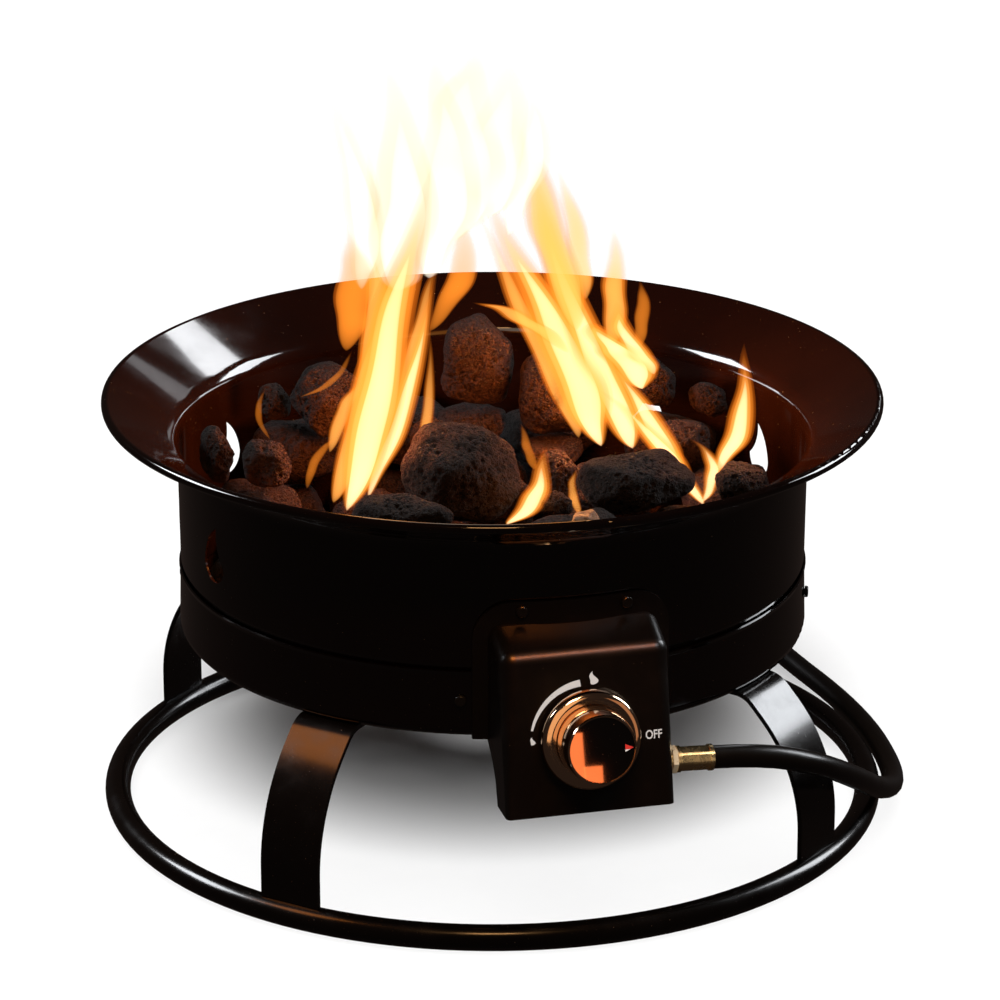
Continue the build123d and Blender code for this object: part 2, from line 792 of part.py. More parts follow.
# Hose: out of the box, down over the ring, round it on the floor, and into the coil
hose_from = ferrule_start + ferrule_length
hose_start = exit_plane.from_local_coords((0, 0, hose_from))
first_corner = exit_plane.from_local_coords((0, 0, hose_from + hose_lead))
hose_route = [
    tuple(hose_start),
    tuple(first_corner),
    (150, -205, 87),
    (182, -178, 63.5),
    (213, -136, 34),
    (238, -92, 15),
    (252, -44, 7.7),
    (257.5, 12, 7.3),
    (254, 75, 7.3),
    (243, 140, 7.3),
    (236, 203, 7.7),
    (233.8, 263, 8.5),
    (233.8, 320, 8.5),
]


def bend_radii(route):
    """One radius a corner: as large as the shorter run beside it allows."""
    points = [Vector(*point) for point in route]
    radii = []
    for before, corner, after in zip(points, points[1:], points[2:]):
        turn = math.radians((corner - before).get_angle(after - corner))
        shorter = min((corner - before).length, (after - corner).length)
        radii.append(0.45 * shorter / math.tan(turn / 2))
    return radii


hose_radii = bend_radii(hose_route)
print("hose bend radii", [round(radius) for radius in hose_radii])
with BuildPart() as gas_hose:
    with BuildLine():
        hose_line = FilletPolyline(*hose_route, radius=hose_radii)
    with BuildSketch(Plane(origin=hose_line @ 0, z_dir=hose_line % 0)):
        Circle(hose_radius)
    sweep()
print("hose volume over section times length", gas_hose.part.volume / (math.pi * hose_radius**2 * hose_line.length))
finish(gas_hose, "gas_hose")


def biarc(start, start_way, end, end_way):
    """Two arcs, tangent to each other, from one point and direction to another."""
    across = end - start
    both = start_way + end_way
    bend = 2 * (1 - start_way.dot(end_way))
    reach = (math.sqrt(across.dot(both) ** 2 + bend * across.dot(across)) - across.dot(both)) / bend
    middle_way = (end - end_way * reach) - (start + start_way * reach)
    middle = ((end - end_way * reach) + (start + start_way * reach)) * 0.5
    first = TangentArc(start, middle, tangent=start_way)
    second = TangentArc(middle, end, tangent=middle_way)
    return [first, second]


# The coil spirals in on the floor by half turns, climbs a layer, and spirals out again on top
coil_x, coil_y = coil_centre
coil_reaches = [coil_outer_radius - coil_pitch / 2 * step for step in range(coil_half_turns + 1)]
coil_reaches += coil_reaches[:0:-1]
coil_top = coil_floor + coil_pitch
coil_pieces = []
with BuildPart() as gas_hose_coil:
    with BuildLine() as turns:
        side = 1
        coil_pieces.append(
            Line(
                (coil_x + coil_outer_radius, coil_y - 2 * hose_radius, coil_floor),
                (coil_x + coil_outer_radius, coil_y, coil_floor),
            )
        )
        for number, (near, far) in enumerate(zip(coil_reaches, coil_reaches[1:])):
            level = coil_floor if number < coil_half_turns else coil_top
            start = Vector(coil_x + side * near, coil_y, coil_floor if number <= coil_half_turns else coil_top)
            end = Vector(coil_x - side * far, coil_y, level)
            if number == coil_half_turns:
                climb = math.atan(coil_climb * coil_pitch / (math.pi * near))
                low = Vector(coil_x, coil_y + side * (near - coil_pitch / 4), (coil_floor + coil_top) / 2)
                way = Vector(-side * math.cos(climb), 0, math.sin(climb))
                coil_pieces += biarc(start, Vector(0, side, 0), low, way)
                coil_pieces += biarc(low, way, end, Vector(0, -side, 0))
            else:
                crest = Vector((start.X + end.X) / 2, coil_y + side * (near + far) / 2, level)
                coil_pieces.append(ThreePointArc(start, crest, end))
            side = -side
        last_radius = coil_reaches[-1] + coil_pitch / 4
        last_middle = Vector(coil_x + coil_reaches[-1] - last_radius, coil_y, coil_top)
        coil_end = last_middle + Vector(0, last_radius, 0)
        quarter = Vector(math.sqrt(0.5), math.sqrt(0.5), 0) * last_radius
        coil_pieces.append(ThreePointArc(end, last_middle + quarter, coil_end))
        tail_end = coil_end - Vector(coil_tail, 0, 0)
        coil_pieces.append(Line(coil_end, tail_end))
    with BuildSketch(Plane(origin=coil_pieces[0] @ 0, z_dir=(0, 1, 0))):
        Circle(hose_radius)
    sweep(path=turns.wires()[0])
finish(gas_hose_coil, "gas_hose_coil")

coil_length = sum(piece.length for piece in coil_pieces)
print("hose length", round(hose_line.length + coil_length), "of it in the coil", round(coil_length))
print("coil volume over section times length", gas_hose_coil.part.volume / (math.pi * hose_radius**2 * coil_length))
samples = np.array([tuple(piece @ (i / 24)) for piece in coil_pieces for i in range(24)])
along = np.concatenate([[0], np.cumsum(np.linalg.norm(np.diff(samples, axis=0), axis=1))])
apart = np.linalg.norm(samples[:, None] - samples[None], axis=2)
far_along = np.abs(along[:, None] - along[None]) > 8 * hose_radius
print("least gap of the coil to itself", round(float(apart[far_along].min() - 2 * hose_radius), 2))

# Tie round the coil, on the side away from its climb
tie_outer = coil_reaches[1] + hose_radius + tie_gap
tie_inner = coil_reaches[coil_half_turns] - hose_radius - tie_gap
tie_low = coil_floor - hose_radius - tie_gap
tie_high = coil_top + hose_radius + tie_gap
with BuildPart() as coil_tie:
    with BuildSketch(Plane.XZ.offset(-coil_y)):
        with Locations((coil_x - (tie_outer + tie_inner) / 2, (tie_low + tie_high) / 2)):
            RectangleRounded(tie_outer - tie_inner + 2 * tie_wall, tie_high - tie_low + 2 * tie_wall, hose_radius)
            RectangleRounded(tie_outer - tie_inner, tie_high - tie_low, hose_radius - tie_wall, mode=Mode.SUBTRACT)
    extrude(amount=tie_width / 2, both=True)
finish(coil_tie, "coil_tie")

# Regulator, lying flat, with the hose in one port and the cylinder's nipple and hand nut at the other
tail_plane = Plane(origin=tail_end, x_dir=(0, 1, 0), z_dir=(-1, 0, 0))
regulator_ferrule = crimped_ferrule(tail_plane)
finish(regulator_ferrule, "regulator_ferrule")

port_axis_y = tail_end.Y
port_span = 2 * port_boss_length + 2 * regulator_radius
regulator_x = tail_end.X - ferrule_length - port_span / 2
regulator_screw_ring = regulator_rim_radius - screw_head_radius
rim_under = regulator_rim_height - regulator_rim_thickness
with BuildPart() as regulator_body:
    with BuildSketch(Plane.XY.offset(regulator_floor)):
        with Locations((regulator_x, port_axis_y)):
            Circle(regulator_radius)
    extrude(amount=regulator_rim_height - regulator_floor)
    fillet(regulator_body.edges().group_by(Axis.Z)[0], regulator_bottom_round)
    with BuildSketch(Plane.XY.offset(rim_under)):
        with Locations((regulator_x, port_axis_y)):
            Circle(regulator_rim_radius)
    extrude(amount=regulator_rim_thickness)
    with BuildSketch(tail_plane.offset(ferrule_length)):
        Circle(port_boss_radius)
    extrude(amount=port_span)
    with Locations((regulator_x, port_axis_y, regulator_rim_height)):
        with PolarLocations(regulator_screw_ring, regulator_screw_count, regulator_screw_start):
            Hole(screw_radius + thread_gap, depth=2 * regulator_rim_thickness)
finish(regulator_body, "regulator_body")

with BuildPart() as regulator_bonnet:
    with BuildSketch(Plane.XY.offset(regulator_rim_height)):
        with Locations((regulator_x, port_axis_y)):
            Circle(regulator_rim_radius)
    extrude(amount=regulator_rim_thickness)
    with BuildSketch(Plane.XY.offset(regulator_rim_height + regulator_rim_thickness)):
        with Locations((regulator_x, port_axis_y)):
            Circle(bonnet_base_radius)
    with BuildSketch(Plane.XY.offset(bonnet_height)):
        with Locations((regulator_x, port_axis_y)):
            Circle(bonnet_top_radius)
    loft()
    fillet(regulator_bonnet.edges().group_by(Axis.Z)[-1], bonnet_round)
    with Locations((regulator_x, port_axis_y, regulator_rim_height + regulator_rim_thickness)):
        with PolarLocations(regulator_screw_ring, regulator_screw_count, regulator_screw_start):
            Hole(screw_radius + thread_gap, depth=2 * regulator_rim_thickness)
finish(regulator_bonnet, "regulator_bonnet")

with BuildPart() as regulator_cap:
    with BuildSketch(Plane.XY.offset(bonnet_height)):
        with Locations((regulator_x, port_axis_y)):
            Circle(vent_cap_radius)
            with PolarLocations(vent_cap_radius, vent_notch_count):
                Circle(vent_notch_radius, mode=Mode.SUBTRACT)
    extrude(amount=vent_cap_height)
finish(regulator_cap, "regulator_cap")

screw_seat = regulator_rim_height + regulator_rim_thickness
with BuildPart() as regulator_screws:
    with Locations((regulator_x, port_axis_y, screw_seat)):
        with PolarLocations(regulator_screw_ring, regulator_screw_count, regulator_screw_start):
            Cylinder(screw_head_radius, screw_head_height, align=(Align.CENTER, Align.CENTER, Align.MIN))
            Cylinder(screw_radius, 2 * regulator_rim_thickness, align=(Align.CENTER, Align.CENTER, Align.MAX))
    fillet(regulator_screws.edges().group_by(Axis.Z)[-1], screw_head_height / 2)
finish(regulator_screws, "regulator_screws")

nipple_start = ferrule_length + port_span
with BuildPart() as cylinder_nipple:
    with BuildSketch(tail_plane.offset(nipple_start)):
        RegularPolygon(nipple_flats / 2, 6, major_radius=False)
    extrude(amount=nipple_flats_length)
    with BuildSketch(tail_plane.offset(nipple_start)):
        Circle(nipple_radius)
    extrude(amount=nipple_length - nipple_nose_length)
    with BuildSketch(tail_plane.offset(nipple_start)):
        Circle(nipple_nose_radius)
    extrude(amount=nipple_length)
    chamfer(cylinder_nipple.edges().sort_by(Axis.X)[0], nipple_nose_chamfer)
    with BuildSketch(tail_plane.offset(nipple_start + nipple_length)):
        Circle(nipple_bore)
    extrude(amount=-nipple_length / 2, mode=Mode.SUBTRACT)
finish(cylinder_nipple, "cylinder_nipple")

nut_start = nipple_start + nipple_flats_length + slip_gap
with BuildPart() as hand_nut:
    with BuildSketch(tail_plane.offset(nut_start)):
        Circle(hand_nut_radius)
        with PolarLocations(hand_nut_radius, hand_nut_flutes):
            Circle(flute_radius, mode=Mode.SUBTRACT)
    extrude(amount=hand_nut_length)
    with BuildSketch(tail_plane.offset(nut_start)):
        Circle(nipple_radius + running_gap)
    extrude(amount=hand_nut_length, mode=Mode.SUBTRACT)
    with BuildSketch(tail_plane.offset(nut_start + hand_nut_length)):
        Circle(hand_nut_bore)
    extrude(amount=-hand_nut_thread_length, mode=Mode.SUBTRACT)
finish(hand_nut, "hand_nut")

# Lava rock, laid from the pan's floor up: each stone comes down until it rests on what lies below it
grid_side = np.arange(-bowl_wall_radius, bowl_wall_radius, stone_grid)
grid_x, grid_y = np.meshgrid(grid_side, grid_side)
grid_reach = np.hypot(grid_x, grid_y)
bed = np.full(grid_x.shape, float(floor_top))
bed[grid_reach < pan_dish_radius + 2 * pan_dish_rise] += pan_dish_rise
for bolt_x, bolt_y in bolt_spots:
    bed[np.hypot(grid_x - bolt_x, grid_y - bolt_y) < bolt_head_radius + 1] = floor_top + bolt_head_height
for angle in bracket_angles:
    out = grid_x * math.cos(math.radians(angle)) + grid_y * math.sin(math.radians(angle))
    beside = np.abs(grid_y * math.cos(math.radians(angle)) - grid_x * math.sin(math.radians(angle)))
    on_bracket = (out > bracket_tip) & (out < bracket_reach) & (beside < bracket_width / 2 + 1)
    bed[on_bracket] = np.where(out[on_bracket] < bracket_step_reach, bracket_rise, floor_top) + bracket_sheet
tube_offset = np.minimum(np.abs(grid_reach - burner_radius), burner_tube_radius)
over_tube = np.abs(grid_reach - burner_radius) < burner_tube_radius + 1
bed = np.where(over_tube, burner_height + np.sqrt(burner_tube_radius**2 - tube_offset**2), bed)
over_mixer = (np.abs(grid_x) < burner_tube_radius + 3) & (grid_y < -burner_radius + burner_tube_radius)
bed[over_mixer] = burner_height + burner_tube_radius + shutter_wall


def stone_planes(size, turn, number):
    """Outward normals and reaches of a stone's faces: a block with its corners cut off all round."""
    step = np.arange(cut_count)
    level = 1 - (2 * step + 1) / cut_count
    around = step * math.radians(137.5) + number
    ring = np.sqrt(1 - level**2)
    cuts = np.stack([ring * np.cos(around), ring * np.sin(around), level], axis=1)
    half = np.array(size) / 2
    reach = np.linalg.norm(cuts * half, axis=1) * (cut_depth + cut_spread * np.sin(2 * step + number))
    normals = np.vstack([cuts, np.eye(3), -np.eye(3)])
    c, s = math.cos(math.radians(turn)), math.sin(math.radians(turn))
    turned = normals @ np.array([[c, s, 0], [-s, c, 0], [0, 0, 1]])
    return turned, np.concatenate([reach, half, half])


def lay_stone(size, x, y, turn, number):
    """Lays one stone on the bed, raises the bed by it, and gives its solid."""
    normals, reach = stone_planes(size, turn, number)
    flat = np.abs(normals[:, 2]) < 1e-6
    height = [
        (d - n[0] * (grid_x - x) - n[1] * (grid_y - y)) / n[2] if abs(n[2]) > 1e-6 else None
        for n, d in zip(normals, reach)
    ]
    under = np.max([h for h, n in zip(height, normals) if n[2] < -1e-6], axis=0)
    over = np.min([h for h, n in zip(height, normals) if n[2] > 1e-6], axis=0)
    inside = under < over
    for n, d in zip(normals[flat], reach[flat]):
        inside &= n[0] * (grid_x - x) + n[1] * (grid_y - y) < d
    z = float((bed - under)[inside].max()) + stone_gap
    bed[inside] = np.maximum(bed, z + over)[inside]
    with BuildPart() as stone:
        with Locations(Location((x, y, z), (0, 0, turn))):
            Box(*size)
        for n, d in zip(normals[:cut_count], reach[:cut_count]):
            split(bisect_by=Plane(origin=Vector(x, y, z) + Vector(*n) * float(d), z_dir=tuple(n)), keep=Keep.BOTTOM)
    return stone.part.solids()


def ring_of_stones(count, reach, start, size, swing, first):
    """Stones in a ring, their long side along it, each a little different in size."""
    solids = []
    for i in range(count):
        angle = start + 360 / count * i
        across = math.radians(angle)
        own = [side * (1 + swing * math.sin(2.3 * i + 1.9 * axis + first)) for axis, side in enumerate(size)]
        solids += lay_stone(own, reach * math.cos(across), reach * math.sin(across), angle + 90, first + i)
    return solids


def stone_group(stones, name):
    """One node for a layer of loose stones."""
    with BuildPart() as layer:
        add(stones)
    finish(layer, name)


floor_stones = ring_of_stones(11, 150, 8, (68, 56, 54), 0.07, 1)
floor_stones += ring_of_stones(4, 40, 20, (44, 44, 52), 0.06, 20)
stone_group(floor_stones, "lava_rocks_floor")
middle_stones = ring_of_stones(10, 146, 25, (72, 60, 38), 0.08, 30)
middle_stones += ring_of_stones(5, 78, 10, (66, 58, 46), 0.07, 50)
middle_stones += lay_stone((52, 48, 46), 4, 6, 15, 60)
stone_group(middle_stones, "lava_rocks_middle")

# The stones in sight: size, place and turn of each, in the order they are laid
top_layout = [
    ((60, 50, 24), 8, 90, 70),
    ((46, 44, 14), 54, 58, 20),
    ((18, 32, 40), -166, 44, 15),
    ((30, 34, 36), -140, 14, 60),
    ((22, 26, 28), -116, 106, 40),
    ((26, 32, 26), 156, 56, 20),
    ((44, 42, 30), 122, 2, 80),
    ((72, 38, 26), -82, -102, 160),
    ((28, 28, 42), 38, -14, 35),
    ((26, 22, 16), 22, -70, 15),
    ((30, 28, 68), -27, 46, 15),
    ((40, 38, 26), 133, -94, 55),
    ((50, 46, 62), 54, 58, 40),
    ((46, 46, 50), -86, 80, 30),
    ((50, 50, 64), 11, 84, 70),
    ((32, 36, 36), 123, 72, 20),
    ((80, 62, 66), -30, -40, 8),
    ((84, 54, 32), 64, -98, 14),
]
top_stones = []
for number, (size, x, y, turn) in enumerate(top_layout):
    top_stones += lay_stone(size, x, y, turn, top_first + number)
stone_group(top_stones, "lava_rocks_top")
pebbles = lay_stone((28, 24, 14), -152, -72, 25, pebble_first)
pebbles += lay_stone((22, 18, 11), 15, -166, 5, pebble_first + 1)
stone_group(pebbles, "pale_pebbles")
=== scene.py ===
"""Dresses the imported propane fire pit: enamelled bowl of lava rock, ring and legs, valve box, knob, hose and fire.

Metres, +Z up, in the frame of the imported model. The control box faces -Y and the hose leaves it towards +X.
"""
import json
import logging
import math
from dataclasses import dataclass
from enum import Enum
from typing import Iterable, Optional, Union

import bpy
import numpy as np
from mathutils import Euler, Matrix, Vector


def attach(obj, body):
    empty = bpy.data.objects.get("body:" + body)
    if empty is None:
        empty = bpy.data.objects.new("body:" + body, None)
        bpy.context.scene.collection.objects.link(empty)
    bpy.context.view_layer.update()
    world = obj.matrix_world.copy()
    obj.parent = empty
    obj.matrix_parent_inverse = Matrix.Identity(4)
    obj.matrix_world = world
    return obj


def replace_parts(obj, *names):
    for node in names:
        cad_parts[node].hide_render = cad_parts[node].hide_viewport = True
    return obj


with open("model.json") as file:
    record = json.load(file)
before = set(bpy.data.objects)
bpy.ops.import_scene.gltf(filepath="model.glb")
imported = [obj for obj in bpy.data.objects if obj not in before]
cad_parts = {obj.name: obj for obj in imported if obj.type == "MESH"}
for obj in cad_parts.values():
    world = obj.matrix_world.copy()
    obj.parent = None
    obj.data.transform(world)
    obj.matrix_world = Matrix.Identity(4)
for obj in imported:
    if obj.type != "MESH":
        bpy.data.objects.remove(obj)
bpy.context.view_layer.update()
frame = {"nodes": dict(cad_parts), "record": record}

MM = 0.001
NOISE_MEAN = 0.5
LOG = logging.getLogger("fire_pit")

Colour = tuple[float, float, float]
Place = tuple[float, float, float]
Span = tuple[float, float]
Measure = Union[float, np.ndarray]
Value = Union[float, int, "Signal"]


class Signal:
    """A shader socket that Python arithmetic works on: each expression adds the Math node that it needs."""

    def __init__(self, paint: "Paint", socket: bpy.types.NodeSocket) -> None:
        """Wraps one output socket of a paint's tree."""
        self.paint = paint
        self.socket = socket

    def _math(self, operation: str, first: Value, second: Value) -> "Signal":
        """Adds one Math node.

        Args:
            operation: The Math node's operation.
            first: Its first value or socket.
            second: Its second value or socket.

        Returns:
            The node's output.
        """
        return self.paint.node("ShaderNodeMath", {"operation": operation}, {0: first, 1: second})

    def __add__(self, other: Value) -> "Signal":
        """This plus other."""
        return self._math("ADD", self, other)

    __radd__ = __add__

    def __sub__(self, other: Value) -> "Signal":
        """This minus other."""
        return self._math("SUBTRACT", self, other)

    def __rsub__(self, other: Value) -> "Signal":
        """Other minus this."""
        return self._math("SUBTRACT", other, self)

    def __mul__(self, other: Value) -> "Signal":
        """This times other."""
        return self._math("MULTIPLY", self, other)

    __rmul__ = __mul__

    def smaller(self, other: Value) -> "Signal":
        """The smaller of this and other."""
        return self._math("MINIMUM", self, other)

    def above(self, level: float, fade: float) -> "Signal":
        """Smooth step that starts at a level and is complete after a fade."""
        return self.step(level, level + fade)

    def step(self, low: float, high: float) -> "Signal":
        """Smooth step.

        Args:
            low: Where the step starts.
            high: Where it is complete; under low, the step falls.

        Returns:
            0 before low, 1 past high and a smooth rise between.
        """
        settings = {"interpolation_type": "SMOOTHSTEP"}
        if low <= high:
            return self.paint.node("ShaderNodeMapRange", settings, {0: self, 1: low, 2: high, 3: 0.0, 4: 1.0})
        return self.paint.node("ShaderNodeMapRange", settings, {0: self, 1: high, 2: low, 3: 1.0, 4: 0.0})


class Paint:
    """One material and its node tree, with a principled surface or a volume."""

    SPECK_CORE = 0.5
    SPECK_FADE = 0.9

    def __init__(self, name: str) -> None:
        """Starts a material with an empty tree and its object coordinates."""
        self.material = bpy.data.materials.new(name)
        self.material.use_nodes = True
        self.tree = self.material.node_tree
        self.tree.nodes.clear()
        self.place = self.node("ShaderNodeTexCoord", output="Object")

    def node(
        self,
        kind: str,
        settings: Optional[dict] = None,
        inputs: Optional[dict] = None,
        output: Union[int, str] = 0,
    ) -> Signal:
        """Adds any node: its settings first, then its inputs.

        Args:
            kind: The node's type.
            settings: Its properties.
            inputs: Values or signals by socket name or number.
            output: The socket to give back.

        Returns:
            That output as a signal.
        """
        made = self.tree.nodes.new(kind)
        for key, value in (settings or {}).items():
            setattr(made, key, value)
        for key, value in (inputs or {}).items():
            if isinstance(value, Signal):
                self.tree.links.new(value.socket, made.inputs[key])
            elif isinstance(value, tuple) and len(value) == 3 and len(made.inputs[key].default_value) == 4:
                made.inputs[key].default_value = (*value, 1.0)
            else:
                made.inputs[key].default_value = value
        return Signal(self, made.outputs[output])

    def scaled(self, x: float, y: float, z: float) -> Signal:
        """Object coordinates stretched along each axis."""
        return self.node("ShaderNodeVectorMath", {"operation": "MULTIPLY"}, {0: self.place, 1: (x, y, z)})

    def axis(self, letter: str) -> Signal:
        """One object coordinate, in metres."""
        return self.node("ShaderNodeSeparateXYZ", None, {0: self.place}, output=letter)

    def noise(self, scale: float, detail: float = 3.0, rough: float = 0.55, at: Optional[Signal] = None) -> Signal:
        """Fractal noise.

        Args:
            scale: Grains per metre.
            detail: Octaves.
            rough: How much the finer octaves count.
            at: Where it is read, object coordinates if none.

        Returns:
            The noise, from 0 to 1.
        """
        inputs = {"Vector": at or self.place, "Scale": scale, "Detail": detail, "Roughness": rough}
        return self.node("ShaderNodeTexNoise", None, inputs)

    def cells(self, scale: float, output: str = "Distance") -> Signal:
        """Cell noise, measured to the nearest cell's point.

        Args:
            scale: Cells per metre.
            output: The socket to give back.

        Returns:
            That measure as a signal.
        """
        return self.node("ShaderNodeTexVoronoi", None, {"Vector": self.place, "Scale": scale}, output)

    def specks(self, scale: float, size: float, share: float) -> Signal:
        """Scattered round specks.

        Args:
            scale: Cells per metre that may hold a speck.
            size: A speck's radius as a share of its cell.
            share: The share of cells that hold one.

        Returns:
            1 in a speck and 0 outside.
        """
        chance = self.node("ShaderNodeSeparateColor", None, {0: self.cells(scale, output="Color")})
        return self.cells(scale).step(size, size * self.SPECK_CORE) * chance.step(share, share * self.SPECK_FADE)

    def mix(self, factor: Value, first: Union[Colour, Signal], second: Union[Colour, Signal]) -> Signal:
        """Mixes two colours.

        Args:
            factor: 0 for the first, 1 for the second.
            first: A colour or a signal.
            second: A colour or a signal.

        Returns:
            The mixed colour.
        """
        inputs = {0: factor, 6: first, 7: second}
        return self.node("ShaderNodeMix", {"data_type": "RGBA"}, inputs, output=2)

    def bump(self, height: Signal, distance: float) -> Signal:
        """Surface normal of a height field.

        Args:
            height: The height, from 0 to 1.
            distance: The real height of 1, in metres.

        Returns:
            The bent normal.
        """
        return self.node("ShaderNodeBump", None, {"Height": height, "Distance": distance, "Strength": 1.0})

    def surface(self, **inputs: Union[Value, Colour]) -> bpy.types.Material:
        """Ends the tree in a principled surface.

        Args:
            inputs: Its sockets, with underscores for spaces, such as Base_Color.

        Returns:
            The material.
        """
        named = {key.replace("_", " "): value for key, value in inputs.items()}
        self.end(self.node("ShaderNodeBsdfPrincipled", None, named))
        return self.material

    def end(self, shader: Signal, volume: bool = False) -> None:
        """Joins a shader to the material's output."""
        end = self.tree.nodes.new("ShaderNodeOutputMaterial")
        self.tree.links.new(shader.socket, end.inputs["Volume" if volume else "Surface"])


# In the finishes, a scale is in grains per metre, a depth in metres, a span or a level is where a noise steps from
# 0 to 1, a cover is how much of a colour shows, and a ratio multiplies the scale or share of the coarser layer.


@dataclass(frozen=True)
class Coating:
    """Enamel, powder coat or paint: an even colour with clouding, orange peel, dust and scuffs."""

    name: str
    colour: Colour
    clouded: Colour
    roughness: float
    roughness_swing: float
    coat: float
    peel_scale: float
    peel_depth: float
    dust_share: float = 0.05
    dust: Colour = (0.20, 0.17, 0.15)
    dust_scale: float = 420.0
    dust_size: float = 0.16
    dust_cover: float = 0.75
    dust_roughness: float = 0.3
    fine_scale_ratio: float = 2.1
    fine_share_ratio: float = 1.4
    fine_size: float = 0.2
    fine_cover: float = 0.6
    cloud_scale: float = 9.0
    cloud_span: Span = (0.35, 0.7)
    smear_scale: float = 38.0
    smear_span: Span = (0.4, 0.75)
    coat_polish: float = 0.6

    def material(self) -> bpy.types.Material:
        """Makes the coating's material."""
        paint = Paint(self.name)
        cloud = paint.noise(self.cloud_scale)
        smear = paint.noise(self.smear_scale, detail=4.0, rough=0.6).step(*self.smear_span)
        specks = paint.specks(self.dust_scale, self.dust_size, self.dust_share)
        fine_scale, fine_share = self.dust_scale * self.fine_scale_ratio, self.dust_share * self.fine_share_ratio
        fine = paint.specks(fine_scale, self.fine_size, fine_share)
        dusty = (specks + fine * self.fine_cover).smaller(1.0) * self.dust_cover
        body = paint.mix(cloud.step(*self.cloud_span), self.colour, self.clouded)
        peel = paint.noise(self.peel_scale, detail=2.0)
        return paint.surface(
            Base_Color=paint.mix(dusty, body, self.dust),
            Roughness=self.roughness + self.roughness_swing * smear + specks * self.dust_roughness,
            Coat_Weight=self.coat,
            Coat_Roughness=self.roughness * self.coat_polish,
            Normal=paint.bump(peel, self.peel_depth),
        )


@dataclass(frozen=True)
class Metal:
    """Bare or plated metal, drawn or turned, with tarnish in patches."""

    name: str
    colour: Colour
    tarnish: Colour
    roughness: float
    tarnish_level: float = 0.5
    line_scale: float = 900.0
    line_depth: float = 0.00002
    grain: Place = (0.15, 1.0, 1.0)
    patch_scale: float = 95.0
    patch_fade: float = 0.22
    tarnish_cover: float = 0.8
    tarnish_roughness: float = 0.18
    line_roughness: float = 0.12

    def material(self) -> bpy.types.Material:
        """Makes the metal's material."""
        paint = Paint(self.name)
        patches = paint.noise(self.patch_scale, detail=4.0, rough=0.6).above(self.tarnish_level, self.patch_fade)
        lines = paint.noise(self.line_scale, detail=2.0, rough=0.5, at=paint.scaled(*self.grain))
        worn = patches * self.tarnish_roughness + (lines - NOISE_MEAN) * self.line_roughness
        return paint.surface(
            Base_Color=paint.mix(patches * self.tarnish_cover, self.colour, self.tarnish),
            Roughness=self.roughness + worn,
            Metallic=1.0,
            Normal=paint.bump(lines, self.line_depth),
        )


@dataclass(frozen=True)
class Moulded:
    """Moulded plastic or rubber, with a fine grain, clouding and scuffs."""

    name: str
    colour: Colour
    scuffed: Colour
    roughness: float
    grain_scale: float
    grain_depth: float
    scuff_level: float = 0.62
    scuff_scale: float = 310.0
    scuff_fade: float = 0.12
    scuff_cover: float = 0.5
    cloud_scale: float = 60.0
    cloud_cover: float = 0.25
    roughness_swing: float = 0.15

    def material(self) -> bpy.types.Material:
        """Makes the moulding's material."""
        paint = Paint(self.name)
        cloud = paint.noise(self.cloud_scale, detail=4.0, rough=0.6)
        scuffs = paint.noise(self.scuff_scale, detail=3.0, rough=0.7).above(self.scuff_level, self.scuff_fade)
        grain = paint.noise(self.grain_scale, detail=3.0, rough=0.6)
        shown = scuffs * self.scuff_cover + cloud * self.cloud_cover
        return paint.surface(
            Base_Color=paint.mix(shown, self.colour, self.scuffed),
            Roughness=self.roughness + (scuffs + (cloud - NOISE_MEAN)) * self.roughness_swing,
            Normal=paint.bump(grain, self.grain_depth),
        )


@dataclass(frozen=True)
class Stone:
    """Lava rock or a pebble: a crust with pores, the holes painted in a darker colour as shade, with ash and rust in
    patches.
    """

    name: str
    crust: Colour
    # Colour painted into the pores' holes as shade, not a colour of the stone.
    pore_shade: Colour
    ash: Colour
    pore_scale: float
    pore_depth: float
    roughness: float
    ash_level: float
    ash_fade: float = 0.2
    pore_span: Span = (0.52, 0.2)
    # How much of the painted pore shade shows in the holes.
    pore_shade_cover: float = 0.9
    pore_roughness: float = 0.1
    fine_scale_ratio: float = 2.3
    fine_span: Span = (0.5, 0.2)
    fine_cover: float = 0.55
    grit_scale_ratio: float = 0.9
    grit_span: Span = (0.36, 0.6)
    patch_scale: float = 34.0
    grit_height: float = 0.55
    pore_height: float = 0.8
    patch_height: float = 0.3

    def material(self) -> bpy.types.Material:
        """Makes the stone's material."""
        paint = Paint(self.name)
        pores = paint.cells(self.pore_scale).step(*self.pore_span)
        fine = paint.cells(self.pore_scale * self.fine_scale_ratio).step(*self.fine_span)
        grit = paint.noise(self.pore_scale * self.grit_scale_ratio, detail=5.0, rough=0.68)
        patch = paint.noise(self.patch_scale, detail=5.0, rough=0.62)
        holes = (pores * grit.step(*self.grit_span) + fine * self.fine_cover).smaller(1.0)
        crust = paint.mix(patch.above(self.ash_level, self.ash_fade), self.crust, self.ash)
        height = grit * self.grit_height - holes * self.pore_height + patch * self.patch_height
        return paint.surface(
            # Painted shade: the holes, which the bump sinks, take the darker pore colour as shade inside the pores.
            Base_Color=paint.mix(holes * self.pore_shade_cover, crust, self.pore_shade),
            Roughness=self.roughness + holes * self.pore_roughness,
            Normal=paint.bump(height, self.pore_depth),
        )


